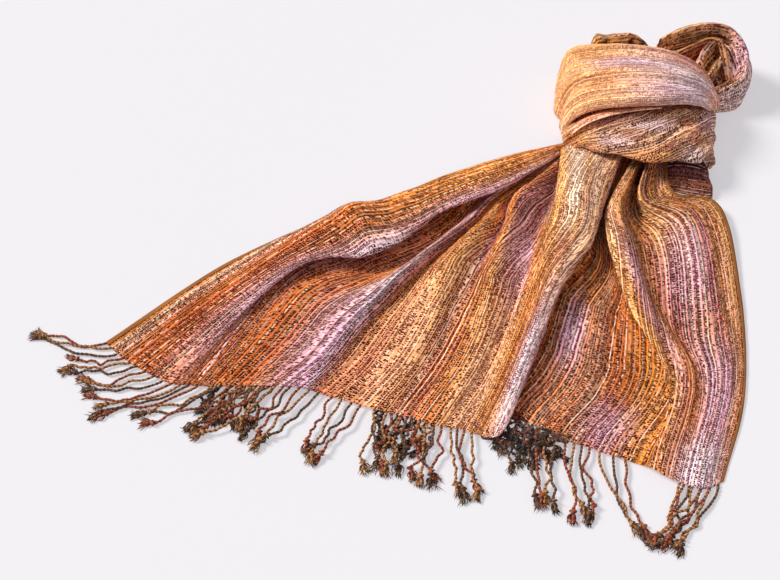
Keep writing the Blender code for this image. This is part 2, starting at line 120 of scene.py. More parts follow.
FAN_STATIONS = (0.0, 0.14, 0.31, 0.55, 0.8, 1.0)
FAN_ROWS = 200
FAN_FOLDS = (
    Fold("left selvedge", (230, 210, 8), (148, 189, 8), (83, 164, 6),
         (-44, 112, 4), (-190, 30, 2), (-306, -70, 1)),
    Fold("hump crest", (217, 203, 15), (145, 179, 20), (77, 156, 18),
         (-34, 97, 32), (-171, 10, 9), (-281, -92, 2)),
    Fold("flap edge", (202, 186, 11), (133, 128, 24), (65, 96, 22),
         (-13, 33, 24), (-112, 13, 14), (-230, -122, 4)),
    Fold("flap tuck", (189, 195, 5), (113, 150, 9), (53, 114, 6),
         (-24, 56, 6), (-119, 23, 5), (-209, -124, 3)),
    Fold("flap shadow", (190, 187, 4), (119, 136, 4), (72, 84, 3),
         (-6, 21, 3), (-103, 1, 3), (-183, -126, 4)),
    Fold("lilac crest", (193, 184, 5.5), (124, 133, 8), (87, 86, 17),
         (11, 10, 20), (-48, -62, 14), (-93, -131, 10)),
    Fold("lilac hollow", (195.5, 181.5, 5), (130, 131, 5), (102, 91, 5),
         (31, 17, 4), (-27, -64, 4), (-68, -136, 4)),
    Fold("orange crest", (198, 179, 5.5), (136, 131, 9), (118, 97, 19),
         (73, 35, 18), (37, -61, 12), (-15, -154, 6)),
    Fold("mauve hollow", (200.5, 176, 5), (143, 128, 5), (130, 91, 5),
         (103, 33, 4), (61, -63, 4), (15, -162, 4)),
    Fold("gold crest", (203, 173, 6), (154, 125, 26), (139, 86, 26),
         (114, 14, 18), (90, -78, 10), (51, -174, 6)),
    Fold("dark hollow", (206.5, 168, 5), (186, 119, 5), (168, 80, 6),
         (148, 12, 5), (112, -93, 4), (77, -178, 4)),
    Fold("lobe left", (199, 179, 22), (192, 110, 34), (184, 76, 32),
         (163, -4, 24), (130, -87, 14), (91, -184, 6)),
    Fold("lobe crest", (246, 189, 25), (232, 118, 42), (216, 67, 40),
         (174, -21, 30), (142, -98, 22), (109, -188, 11)),
    Fold("lobe edge", (275, 182, 27), (245, 104, 33), (226, 47, 30),
         (186, -15, 24), (158, -83, 18), (124, -163, 12)),
    Fold("lobe tuck", (270, 193, 9), (243, 122, 8), (219, 65, 7),
         (177, -3, 6), (147, -78, 5), (120, -149, 5)),
    Fold("inset left", (281, 194, 5), (249, 103, 5), (235, 50, 4),
         (215, -19, 4), (186, -106, 4), (156, -178, 4)),
    Fold("inset right", (288, 193, 5), (253, 100, 5), (250, 41, 5),
         (252, -32, 5), (248, -125, 4), (212, -202, 4)),
    Fold("twist tuck", (293, 188, 8), (264, 112, 8), (262, 73, 8),
         (276, -21, 7), (303, -120, 6), (256, -218, 4)),
    Fold("twist edge", (288, 175, 22), (252, 109, 27), (242, 67, 26),
         (257, -30, 18), (289, -133, 13), (259, -222, 9)),
    Fold("twist crest", (294, 170, 27), (261, 103, 34), (262, 54, 28),
         (278, -31, 21), (309, -129, 13), (276, -232, 7)),
    Fold("twist hollow", (300, 178, 13), (279, 117, 8), (288, 64, 7),
         (295, -32, 8), (327, -128, 7), (291, -238, 4)),
    Fold("roll crest", (307, 170, 27), (290, 112, 27), (339, 89, 20),
         (346, -22, 13), (348, -126, 8), (307, -243, 4)),
    Fold("roll hollow", (315, 174, 17), (309, 122, 15), (359, 106, 11),
         (369, -17, 5), (361, -123, 3), (320, -240, 2)),
    Fold("right selvedge", (325, 172, 19), (327, 126, 20), (377, 114, 13),
         (387, 0, 4), (368, -141, 2), (332, -233, 1)),
)
FAN_CUTS = (12, 9, 8, 8, 10, 8, 8, 7, 8, 8, 9, 9, 9, 9, 9, 9, 9, 8, 6, 8, 8, 9, 8)


# The hidden end: it lies flat under the fan
class FlatLine(NamedTuple):
    """One straight thread of the flat end, from the knot to its hem."""
    name: str
    mouth: tuple
    hem: tuple


UNDER_ROWS = 70
UNDER_CUTS = (20, 20, 20, 20)
UNDER_LINES = (
    FlatLine("left edge", (232, 172), (-196, -107)),
    FlatLine("left quarter", (248, 169), (-100, -113)),
    FlatLine("middle", (264, 166), (0, -137)),
    FlatLine("right quarter", (279, 160), (100, -158)),
    FlatLine("right edge", (292, 152), (190, -176)),
)


# The knot: bands of cloth that arch over it from left to right
class BandLine(NamedTuple):
    """One line across a band: its left and right ends, how far back it lies, and its height."""
    name: str
    left: float
    right: float
    back_left: float
    back_top: float
    back_right: float
    rise: float
    lean: float


class Band(NamedTuple):
    """A band of cloth that arches over the knot."""
    name: str
    roundness: float
    start: float
    end: float
    steps: int
    cuts: int
    lines: tuple


UPPER_WRAP = Band("wrap_upper", 2.4, 0, 168, 130, 7, (
    BandLine("back rim", 216, 389, 310, 294, 266, 62, -0.04),
    BandLine("back edge", 211, 395, 320, 306, 274, 70, -0.05),
    BandLine("first ridge", 206, 400, 308, 294, 268, 82, -0.02),
    BandLine("first dip", 206, 396, 290, 276, 260, 80, -0.02),
    BandLine("second ridge", 203, 400, 268, 254, 254, 89, -0.01),
    BandLine("second dip", 209, 393, 250, 238, 248, 84, 0.0),
    BandLine("third ridge", 206, 392, 236, 222, 242, 84, 0.0),
    BandLine("front edge", 210, 390, 222, 207, 234, 77, 0.0),
    BandLine("front rim", 214, 388, 228, 213, 239, 68.2, 0.0),
))
INNER_WRAP = Band("wrap_inner", 2.4, 25, 100, 80, 7, (
    BandLine("back", 210, 381, 214, 221, 235, 62, 0.0),
    BandLine("top", 208, 383, 208, 215, 230, 65.5, 0.0),
    BandLine("front edge", 207, 384, 198, 208, 224, 66.5, 0.0),
    BandLine("front rim", 209, 382, 202, 213, 228, 62.5, 0.0),
))
LOWER_WRAP = Band("wrap_lower", 2.4, 18, 180, 120, 8, (
    BandLine("hidden rim", 213, 381, 221, 220, 238, 57, -0.04),
    BandLine("top fold", 210, 386, 214, 207, 230, 60, -0.05),
    BandLine("first dip", 210, 386, 210, 197, 220, 57, -0.04),
    BandLine("middle ridge", 209, 386, 206, 185, 205, 59, -0.03),
    BandLine("second dip", 209, 385, 202, 172, 193, 53, -0.02),
    BandLine("last ridge", 207, 387, 199, 160, 181, 51, 0.0),
    BandLine("front edge", 208, 386, 195, 150, 169, 45, 0.0),
    BandLine("front rim", 212, 382, 200, 156, 175, 40, 0.0),
))
TAIL_WRAP = Band("wrap_tail", 2.4, 10, 180, 60, 8, (
    BandLine("back", 322, 374, 182, 181, 172, 25, 0.0),
    BandLine("ridge", 320, 376, 172, 169, 163, 24, 0.0),
    BandLine("dip", 320, 379, 163, 158, 154, 19, 0.0),
    BandLine("front edge", 322, 384, 150, 139, 136, 13, 0.0),
    BandLine("front foot", 325, 383, 142, 130, 126, 4, 0.0),
))
SMALL_LOOP = Band("loop_small", 3.2, 8, 172, 110, 7, (
    BandLine("front rim", 250, 313, 310, 303, 312, 46, 0.0),
    BandLine("front edge", 242, 320, 321, 318, 316, 61, 0.03),
    BandLine("first ridge", 239, 323, 330, 328, 324, 69, 0.03),
    BandLine("dip", 241, 320, 337, 336, 330, 63, 0.0),
    BandLine("second ridge", 239, 321, 344, 344, 337, 61, 0.03),
    BandLine("back", 240, 320, 350, 352, 344, 34, 0.0),
    BandLine("back foot", 242, 317, 351, 355, 346, 3, 0.0),
))


# The loops that stand behind the knot
class HankLine(NamedTuple):
    """One line along a standing loop: how far outside its path and how high it runs."""
    name: str
    outward: float
    height: float


class LoopStation(NamedTuple):
    """A place on a loop's path, with the loop's width and height there."""
    x: float
    y: float
    width: float
    height: float


class Loop(NamedTuple):
    """A gathered loop that stands on the table, filled out at its inner side, outer side and top."""
    name: str
    steps: int
    cuts: int
    inner: float
    outer: float
    tall: float
    stations: tuple
    lines: tuple


LARGE_LOOP = Loop("loop_large", 120, 10, 1.4, 1.0, 1.0, (
    LoopStation(340, 330, 0.8, 0.74),
    LoopStation(360, 338, 1.0, 0.94),
    LoopStation(387, 342, 1.0, 1.04),
    LoopStation(413, 336, 1.0, 1.04),
    LoopStation(426, 315, 1.0, 0.94),
    LoopStation(427.5, 297, 0.9, 0.8),
    LoopStation(421, 281.5, 0.8, 0.66),
    LoopStation(396.7, 273.8, 0.6, 0.5),
), (
    HankLine("inner foot", -13, 4),
    HankLine("inner wall", -15, 28),
    HankLine("inner crest", -9, 53),
    HankLine("groove", -2, 42),
    HankLine("outer crest", 5, 70),
    HankLine("outer wall", 16, 40),
    HankLine("outer foot", 14, 2),
))
INNER_LOOP = Loop("loop_inner", 60, 12, 2.3, 2.3, 1.19, (
    LoopStation(381, 291, 0.8, 0.9),
    LoopStation(387, 301, 1.0, 1.0),
    LoopStation(402.6, 320.3, 0.9, 0.95),
), (
    HankLine("near foot", -7, 3),
    HankLine("near crest", -5, 46),
    HankLine("groove", -1, 32),
    HankLine("far crest", 4, 53),
    HankLine("far foot", 7, 3),
))
PATH_STEP = 0.01


# The hidden layers of the knot
CORE_CENTRE = Vector((300.0, 257.5, 0.0))
CORE_HALF = Vector((83.0, 63.5, 66.0))
CORE_ROUNDNESS = 2.8
CORE_SQUARENESS = 3.4
CORE_SIDES = 96
CORE_RINGS = 40
CORE_LAYERS = 7
CORE_LAYER_DEPTH = 2.6
CORE_SHOWS = 0.3
CORE_THREAD = (0.004, 0.005)
CORE_WELD = 1e-6
CORE_COLOURS = (PEACH, ORANGE, SALMON, GOLD, LILAC)


# Creases, dye and painted shade, drawn on the cloth
class Crease(NamedTuple):
    """A soft ridge of the cloth, or a trough where its height is below zero.

    It runs from one line and place of its sheet to another, and fades at both ends.
    """
    first_line: float
    first_place: float
    last_line: float
    last_place: float
    width: float
    height: float


class Nudge(NamedTuple):
    """A place where the cloth is moved a little, as a bulge or a dip, by a distance on X, Y and Z."""
    line: float
    place: float
    across: float
    along: float
    move: tuple


class Dye(NamedTuple):
    """A patch of the cloth in another colour: most patches are dye, and the dark ones in hollows and
    under other layers are painted shade.
    """
    line: float
    place: float
    across: float
    along: float
    colour: tuple
    strength: float


class Ruffle(NamedTuple):
    """Small uneven waves all over the cloth: their height, and how wide and long they are."""
    height: float
    wide: float
    long: float


FAN_RUFFLES = (Ruffle(0.8, 9.0, 60.0), Ruffle(0.35, 4.0, 26.0))
GATHERED_RUFFLE = Ruffle(0.6, 6.0, 40.0)
FAN_CREASES = (
    Crease(0.15, 0.30, 0.30, 1.10, 6.0, 0.9),
    Crease(0.45, -0.20, 0.55, 0.62, 6.0, 1.6),
    Crease(0.55, 0.35, 0.45, 1.15, 8.0, 1.0),
    Crease(0.80, 0.10, 0.70, 0.75, 5.0, -1.3),
    Crease(1.25, 0.40, 1.10, 0.78, 7.0, 1.6),
    Crease(1.50, 0.38, 1.55, 0.70, 5.0, -1.2),
    Crease(1.70, 0.40, 1.50, 1.10, 7.0, 1.2),
    Crease(1.20, -0.10, 1.60, 0.45, 6.0, 1.6),
    Crease(1.75, -0.20, 1.80, 0.36, 5.0, 1.4),
    Crease(1.45, -0.10, 1.75, 0.30, 4.0, -1.2),
    Crease(3.60, 0.40, 3.30, 1.05, 8.0, 1.4),
    Crease(4.15, 0.36, 4.05, 1.10, 9.0, 1.8),
    Crease(4.40, 0.25, 4.45, 0.95, 7.0, -1.4),
    Crease(4.30, 0.02, 4.60, 0.45, 5.0, 2.2),
    Crease(4.65, 0.30, 4.72, 1.15, 7.0, 1.4),
    Crease(4.75, 0.05, 5.00, 0.40, 4.0, -1.3),
    Crease(5.35, 0.20, 5.30, 1.10, 5.0, -1.2),
    Crease(5.60, 0.15, 5.55, 0.90, 5.0, 1.0),
    Crease(6.30, 0.10, 6.35, 0.70, 5.0, 1.4),
    Crease(6.45, 0.45, 6.40, 1.15, 8.0, 1.4),
    Crease(6.70, 0.15, 6.75, 0.95, 6.0, -1.3),
    Crease(7.40, 0.10, 7.45, 1.10, 6.0, 1.0),
    Crease(7.60, 0.40, 7.60, 1.10, 5.0, -0.9),
    Crease(8.35, 0.20, 8.40, 1.10, 6.0, 1.3),
    Crease(8.60, 0.05, 8.62, 0.60, 5.0, 1.3),
    Crease(9.30, 0.05, 9.40, 0.75, 5.0, -1.2),
    Crease(9.45, 0.45, 9.50, 1.15, 7.0, 1.0),
    Crease(9.75, 0.10, 9.70, 0.55, 5.0, 1.3),
    Crease(10.35, 0.35, 10.30, 1.10, 6.0, 1.2),
    Crease(10.65, 0.15, 10.60, 1.00, 5.0, -0.9),
    Crease(11.25, -0.10, 11.25, 0.80, 5.0, 0.9),
    Crease(11.45, 0.10, 11.50, 1.15, 4.0, -0.7),
    Crease(11.65, -0.20, 11.65, 0.90, 6.0, 0.9),
    Crease(12.30, 0.05, 12.35, 0.85, 5.0, -0.9),
    Crease(12.60, 0.10, 12.60, 1.10, 5.0, 0.9),
    Crease(14.45, 0.50, 14.50, 1.15, 7.0, 1.3),
    Crease(14.75, 0.45, 14.80, 1.05, 5.0, -0.9),
    Crease(15.30, 0.35, 15.35, 1.10, 7.0, 1.3),
    Crease(15.60, 0.40, 15.60, 1.00, 5.0, -1.0),
    Crease(15.80, 0.50, 15.85, 1.15, 8.0, 1.6),
    Crease(16.30, 0.55, 16.30, 1.15, 7.0, 1.2),
    Crease(19.40, 0.30, 19.50, 1.10, 5.0, 0.9),
    Crease(18.60, -0.12, 18.70, 0.12, 4.0, -5.0),
    Crease(20.10, -0.10, 20.30, 0.26, 5.0, -5.0),
    Crease(20.70, -0.10, 20.90, 0.24, 4.0, 3.0),
    Crease(21.20, -0.06, 21.40, 0.26, 3.4, -3.4),
    Crease(21.80, -0.10, 21.90, 0.34, 4.0, 3.0),
    Crease(20.35, 0.20, 20.25, 0.70, 6.0, 1.8),
    Crease(20.30, 0.55, 20.35, 1.15, 6.0, 1.3),
    Crease(20.55, 0.25, 20.60, 0.95, 5.0, -1.0),
    Crease(20.75, 0.25, 20.70, 1.00, 6.0, 1.0),
    Crease(21.35, 0.25, 21.35, 1.00, 6.0, -1.0),
    Crease(21.65, 0.30, 21.60, 1.10, 6.0, 1.0),
    Crease(22.40, 0.20, 22.40, 0.90, 6.0, 0.9),
)
FAN_NUDGES = (
    Nudge(7.0, 0.0, 4.0, 0.06, (8.0, 20.0, 5.0)),
    Nudge(0.8, 0.570, 1.0, 0.030, (0.0, 2.0, 5.0)),
    Nudge(0.5, 0.495, 1.3, 0.045, (0.0, -5.0, -5.0)),
    Nudge(0.5, 0.420, 1.3, 0.050, (0.0, -4.0, -4.0)),
    Nudge(2.2, 0.520, 0.7, 0.040, (0.0, 0.0, 3.0)),
)
FAN_GROUND = ORANGE
FAN_DYES_AND_SHADE = (
    # The maroon patches are painted shade: in the deep hollows by the knot, under the flap's edge and
    # under the lobe's edge.
    Dye(9.8, 0.11, 0.40, 0.07, MAROON, 0.95),
    Dye(10.3, 0.20, 0.45, 0.12, MAROON, 0.8),
    Dye(14.3, 0.19, 0.90, 0.10, MAROON, 0.95),
    Dye(16.4, 0.20, 0.90, 0.12, MAROON, 0.9),
    Dye(18.7, 0.00, 1.00, 0.06, MAROON, 0.95),
    Dye(20.1, 0.05, 0.60, 0.06, MAROON, 0.95),
    Dye(21.1, 0.09, 0.25, 0.06, MAROON, 0.8),
    Dye(20.3, 0.17, 0.45, 0.06, MAROON, 0.95),
    Dye(22.5, 0.06, 0.40, 0.07, MAUVE, 0.8),
    Dye(2.9, 0.61, 0.45, 0.06, MAROON, 0.9),
    Dye(13.7, 0.50, 0.30, 0.40, MAROON, 0.6),
    Dye(0.0, 0.5, 0.40, 3.0, TAN, 0.9),
    Dye(0.6, 0.35, 0.40, 0.25, AMBER, 0.8),
    Dye(1.3, 0.25, 0.50, 0.25, AMBER, 0.7),
    Dye(0.55, 0.85, 0.16, 0.30, SALMON, 0.7),
    Dye(1.15, 0.82, 0.50, 0.26, RUST, 0.9),
    Dye(3.3, 0.92, 0.40, 0.18, RUST, 0.8),
    Dye(2.8, 0.92, 0.50, 0.14, RUST, 0.7),
    Dye(2.0, 0.10, 0.35, 0.45, LILAC, 0.85),
    Dye(1.9, 0.55, 0.30, 0.12, PALE_LILAC, 0.9),
    Dye(2.0, 0.80, 0.45, 0.16, LILAC, 0.8),
    Dye(3.2, 0.70, 0.60, 0.18, MAUVE, 0.85),
    Dye(3.1, 0.45, 0.70, 0.12, WINE, 0.8),
    Dye(4.0, 0.45, 0.45, 0.10, SALMON, 0.7),
    Dye(3.9, 0.85, 0.80, 0.24, RUST, 0.75),
    Dye(5.0, 0.20, 0.40, 0.25, LILAC, 0.7),
    Dye(5.0, 0.62, 0.45, 0.24, PALE_LILAC, 0.95),
    Dye(5.0, 0.92, 0.40, 0.20, LILAC, 0.9),
    Dye(5.55, 0.65, 0.22, 0.40, MAUVE, 0.7),
    Dye(6.5, 0.45, 0.45, 0.25, AMBER, 0.7),
    Dye(6.9, 0.82, 0.80, 0.26, PEACH, 0.65),
    Dye(6.2, 0.95, 0.45, 0.12, SALMON, 0.6),
    Dye(7.3, 0.50, 0.40, 0.40, GOLD, 0.7),
    Dye(7.7, 0.62, 0.30, 0.25, PEACH, 0.8),
    Dye(8.0, 0.30, 0.30, 0.30, MAUVE, 0.85),
    Dye(8.0, 0.90, 0.50, 0.25, SALMON, 0.7),
    Dye(8.8, 0.35, 0.60, 0.30, ORANGE, 0.8),
    Dye(9.2, 0.65, 0.50, 0.30, GOLD, 0.6),
    Dye(9.8, 0.88, 0.90, 0.20, PEACH, 0.65),
    Dye(9.5, 0.35, 0.40, 0.25, LILAC, 0.6),
    Dye(9.9, 0.48, 0.30, 0.16, LILAC, 0.8),
    Dye(10.0, 0.10, 0.50, 0.20, MAUVE, 0.7),
    Dye(10.5, 0.80, 0.50, 0.25, AMBER, 0.5),
    Dye(11.9, 0.14, 1.30, 0.34, GOLD, 0.95),
    Dye(11.5, 0.12, 0.22, 0.30, CREAM, 0.8),
    Dye(12.1, 0.16, 0.25, 0.30, CREAM, 0.8),
    Dye(12.9, 0.12, 0.40, 0.16, PEACH, 0.95),
    Dye(12.5, 0.28, 0.50, 0.40, PEACH, 0.85),
    Dye(12.8, 0.14, 0.20, 0.16, AMBER, 0.85),
    Dye(13.1, 0.18, 0.22, 0.14, LILAC, 0.85),
    Dye(12.1, 0.82, 0.60, 0.28, PALE_LILAC, 0.95),
    Dye(12.9, 0.75, 0.35, 0.25, LILAC, 0.7),
    Dye(13.6, 0.70, 0.50, 0.30, MAUVE, 0.7),
    Dye(14.4, 0.60, 0.60, 0.40, ORANGE, 0.6),
    Dye(15.2, 0.82, 0.70, 0.25, SALMON, 0.5),
    Dye(14.9, 0.68, 0.25, 0.12, LILAC, 0.9),
    Dye(14.4, 0.92, 0.50, 0.15, SALMON, 0.7),
    Dye(15.5, 0.80, 0.20, 0.35, GREY, 0.55),
    Dye(15.9, 0.75, 0.40, 0.30, RUST, 0.6),
    Dye(16.0, 0.93, 0.40, 0.07, LILAC, 0.8),
    Dye(16.6, 0.80, 0.50, 0.25, AMBER, 0.8),
    Dye(17.8, 0.38, 0.80, 0.45, GOLD, 0.9),
    Dye(18.0, 0.27, 1.40, 0.18, GOLD, 0.95),
    Dye(18.6, 0.26, 0.40, 0.16, PEACH, 0.85),
    Dye(19.0, 0.22, 0.30, 0.14, AMBER, 0.8),
    Dye(19.2, 0.46, 0.30, 0.20, MAUVE, 0.8),
    Dye(19.0, 0.60, 0.35, 0.25, LILAC, 0.7),
    Dye(19.3, 0.75, 0.45, 0.28, ORANGE, 0.85),
    Dye(20.6, 0.30, 0.40, 0.12, GOLD, 0.9),
    Dye(20.9, 0.14, 0.30, 0.05, GOLD, 0.8),
    Dye(20.3, 0.65, 0.35, 0.30, MAUVE, 0.5),
    Dye(20.7, 0.60, 0.25, 0.30, GREY, 0.6),
    Dye(21.2, 0.60, 0.50, 0.40, SALMON, 0.75),
    Dye(20.9, 0.45, 0.60, 0.14, LILAC, 0.6),
    Dye(21.0, 0.84, 1.10, 0.16, LILAC, 0.8),
    Dye(20.9, 0.97, 1.70, 0.06, PALE_LILAC, 1.0),
    Dye(21.8, 0.20, 0.80, 0.12, AMBER, 0.8),
    Dye(22.2, 0.55, 0.35, 0.40, PEACH, 0.6),
    Dye(22.7, 0.35, 0.30, 0.25, GOLD, 0.9),
    Dye(23.0, 0.75, 0.30, 0.25, MAUVE, 0.7),
)

UPPER_CREASES = (
    Crease(1.6, -0.10, 1.2, 0.70, 4.0, 2.0),
    Crease(2.4, 0.05, 1.7, 0.85, 4.0, 2.4),
    Crease(2.9, -0.10, 2.6, 0.60, 3.0, -2.4),
    Crease(3.5, 0.00, 2.9, 0.95, 4.0, 2.6),
    Crease(3.9, 0.30, 3.3, 1.05, 3.0, -2.2),
    Crease(4.3, 0.10, 4.6, 1.10, 4.0, 2.2),
    Crease(4.8, -0.10, 4.2, 0.70, 3.0, -2.4),
    Crease(5.4, -0.05, 5.6, 0.80, 4.0, 2.6),
    Crease(5.9, -0.10, 6.2, 0.45, 3.0, -2.0),
    Crease(6.2, 0.10, 4.8, 1.05, 3.0, -2.6),
    Crease(6.6, -0.10, 6.3, 0.75, 4.0, 2.2),
    Crease(5.2, 0.50, 7.2, 0.78, 3.5, 2.4),
    Crease(5.0, 0.56, 7.0, 0.86, 3.0, -2.6),
    Crease(6.9, 0.35, 5.7, 1.10, 4.0, 2.4),
)
UPPER_DYES = (
    Dye(1.0, 0.2, 2.0, 0.35, GOLD, 0.8),
    Dye(3.2, 0.2, 1.6, 0.30, GOLD, 0.85),
    Dye(4.8, 0.26, 0.6, 0.26, AMBER, 0.75),
    Dye(6.2, 0.24, 0.7, 0.24, GOLD, 0.7),
    Dye(7.3, 0.36, 0.6, 0.30, SALMON, 0.5),
    Dye(3.4, 0.48, 0.5, 0.14, LILAC, 0.7),
    Dye(5.7, 0.68, 0.7, 0.16, LILAC, 0.9),
    Dye(3.6, 0.74, 1.8, 0.22, PALE_LILAC, 0.8),
    Dye(6.9, 0.74, 0.7, 0.20, PALE_LILAC, 0.7),
    Dye(2.0, 0.8, 1.0, 0.20, SALMON, 0.7),
    Dye(5.4, 0.75, 0.8, 0.14, PALE_LILAC, 0.8),
    Dye(5.0, 0.95, 1.5, 0.12, SALMON, 0.4),
)
UPPER_NUDGES = (
    Nudge(-0.2, 0.5, 0.8, 0.60, (0.0, 3.0, -9.0)),
    Nudge(0.0, 0.0, 1.5, 0.12, (12.0, -12.0, 0.0)),
    Nudge(2.0, 0.22, 3.0, 0.11, (-4.0, 3.0, 7.0)),
    Nudge(7.6, 0.0, 1.4, 0.06, (5.0, 6.0, 0.0)),
    Nudge(8.0, 1.0, 1.0, 0.05, (-3.0, 3.0, 0.0)),
)
LOWER_NUDGES = (
    Nudge(1.5, 0.0, 3.0, 0.16, (-8.0, 0.0, 0.0)),
    Nudge(0.5, 0.92, 2.2, 0.16, (8.0, 7.0, 9.0)),
    Nudge(6.6, 1.0, 1.3, 0.08, (-8.0, 8.0, 0.0)),
)
LOWER_CREASES = (
    Crease(6.5, -0.20, 0.2, 0.26, 4.5, 3.0),
    Crease(7.0, -0.12, 0.3, 0.36, 3.2, -3.2),
    Crease(7.0, -0.02, 0.3, 0.46, 4.5, 3.4),
    Crease(7.2, 0.06, 0.3, 0.56, 3.2, -3.2),
    Crease(7.2, 0.14, 0.3, 0.66, 4.5, 3.4),
    Crease(7.4, 0.24, 0.4, 0.76, 3.2, -3.0),
    Crease(7.4, 0.34, 0.6, 0.86, 4.5, 3.0),
    Crease(7.4, 0.46, 1.0, 0.96, 3.2, -2.8),
    Crease(7.4, 0.56, 1.6, 1.04, 4.5, 2.6),
    Crease(7.4, 0.68, 2.4, 1.12, 3.2, -2.4),
)
LOWER_DYES = (
    Dye(6.8, 0.30, 0.5, 0.20, WINE, 0.8),
    Dye(6.8, 0.75, 0.6, 0.20, WINE, 0.8),
    Dye(0.3, 0.35, 0.9, 0.30, WINE, 0.9),
    Dye(4.0, 0.08, 3.0, 0.14, AMBER, 0.8),
    Dye(1.5, 0.30, 1.2, 0.10, MAUVE, 0.6),
    Dye(4.4, 0.32, 0.9, 0.08, PALE_LILAC, 0.9),
    Dye(2.4, 0.47, 0.9, 0.08, PALE_LILAC, 0.9),
    Dye(3.4, 0.38, 0.6, 0.05, WINE, 0.7),
    Dye(4.6, 0.52, 0.7, 0.05, WINE, 0.75),
    Dye(5.8, 0.42, 0.9, 0.10, AMBER, 0.75),
    Dye(2.2, 0.62, 0.7, 0.05, WINE, 0.7),
    Dye(3.6, 0.68, 0.8, 0.06, SALMON, 0.8),
    Dye(5.6, 0.65, 1.0, 0.08, PALE_LILAC, 0.85),
    Dye(6.0, 0.78, 0.7, 0.05, WINE, 0.7),
    Dye(2.0, 0.80, 1.2, 0.10, LILAC, 0.7),
    Dye(5.0, 0.90, 2.0, 0.12, MAUVE, 0.7),
)
INNER_CREASES = (
    Crease(1.2, 0.00, 1.5, 0.90, 3.0, 1.0),
    Crease(2.2, 0.10, 1.9, 1.00, 3.0, -0.8),
)
INNER_DYES = (
    Dye(0.5, 0.5, 1.2, 0.60, SALMON, 0.8),
    Dye(2.4, 0.4, 1.2, 0.60, PEACH, 0.9),
)
TAIL_NUDGES = (
    Nudge(3.5, 1.0, 1.6, 0.20, (-9.0, 7.0, 0.0)),
)
TAIL_CREASES = (
    Crease(1.2, 0.00, 1.6, 1.00, 3.5, 1.2),
    Crease(2.4, 0.05, 2.2, 0.95, 3.0, -1.0),
)
# The tail wrap lies in shade under the lower wrap: its plum and maroon are painted shade.
TAIL_PAINTED_SHADE = (
    Dye(2.0, 0.5, 3.0, 0.90, PLUM, 0.9),
    Dye(1.2, 0.5, 0.8, 0.60, MAROON, 0.8),
)
SMALL_NUDGES = (
    Nudge(5.4, 0.0, 2.2, 0.14, (8.0, -22.0, 0.0)),
    Nudge(5.4, 1.0, 2.2, 0.14, (-6.0, -22.0, 0.0)),
    Nudge(2.5, 0.44, 2.5, 0.08, (0.0, -2.0, -7.0)),
    Nudge(3.0, 0.12, 3.0, 0.14, (8.0, 0.0, 0.0)),
)
SMALL_CREASES = (
    Crease(0.8, 0.15, 1.2, 0.50, 3.5, -4.0),
    Crease(1.2, 0.48, 0.8, 0.95, 4.0, -6.0),
    Crease(2.0, 0.00, 2.2, 1.00, 3.0, 2.4),
    Crease(2.8, 0.05, 3.0, 0.95, 3.0, -3.0),
    Crease(3.6, 0.00, 3.4, 1.00, 3.5, 2.4),
    Crease(4.2, 0.20, 4.4, 0.90, 3.0, -2.4),
    Crease(4.2, 0.05, 5.8, 0.36, 4.0, 2.6),
    Crease(5.7, 0.18, 4.5, 0.60, 3.4, -2.8),
    Crease(4.6, 0.52, 5.9, 0.82, 4.0, 2.8),
    Crease(5.7, 0.68, 4.8, 0.98, 3.4, -2.8),
)
SMALL_DYES_AND_SHADE = (
    Dye(2.0, 0.4, 1.5, 0.50, GOLD, 0.7),
    Dye(4.0, 0.6, 1.5, 0.40, ORANGE, 0.6),
    Dye(2.6, 0.60, 0.4, 0.30, PEACH, 0.8),
    # The maroon patches are painted shade in the small loop's deep slits.
    Dye(1.7, 0.41, 0.60, 0.045, MAROON, 0.98),
    Dye(1.7, 0.55, 0.70, 0.055, MAROON, 0.98),
    Dye(1.8, 0.68, 0.70, 0.055, MAROON, 0.98),
)
LARGE_NUDGES = (
    Nudge(4.0, 0.00, 3.0, 0.10, (-5.0, 2.0, 7.0)),
    Nudge(6.0, 0.00, 1.3, 0.12, (-2.0, -14.0, 0.0)),
    Nudge(1.6, 0.34, 1.4, 0.16, (2.0, 6.0, 6.0)),
    Nudge(0.6, 0.64, 1.6, 0.14, (-7.0, -3.0, 0.0)),
)
LARGE_CREASES = (
    Crease(2.4, 0.06, 2.4, 0.40, 4.0, -5.0),
    Crease(3.3, 0.24, 3.4, 0.56, 3.6, -6.0),
    Crease(2.8, 0.72, 3.4, 1.02, 4.6, -5.0),
    Crease(2.2, 0.50, 3.0, 0.84, 3.6, 3.4),
    Crease(0.7, -0.10, 0.9, 0.90, 3.5, 2.8),
    Crease(1.3, 0.05, 1.2, 1.10, 3.0, -2.8),
    Crease(1.8, -0.10, 1.7, 1.00, 3.5, 2.6),
    Crease(2.4, 0.05, 2.5, 0.95, 3.0, -2.6),
    Crease(3.3, 0.00, 3.1, 1.10, 3.0, 2.4),
    Crease(3.7, 0.20, 3.6, 0.90, 2.6, -2.4),
    Crease(4.2, -0.10, 4.4, 0.60, 3.6, 2.0),
    Crease(4.6, 0.15, 4.5, 1.10, 3.4, -2.6),
    Crease(5.0, -0.10, 4.9, 0.90, 4.0, 2.2),
    Crease(5.4, 0.30, 5.3, 1.00, 3.4, -2.2),
)
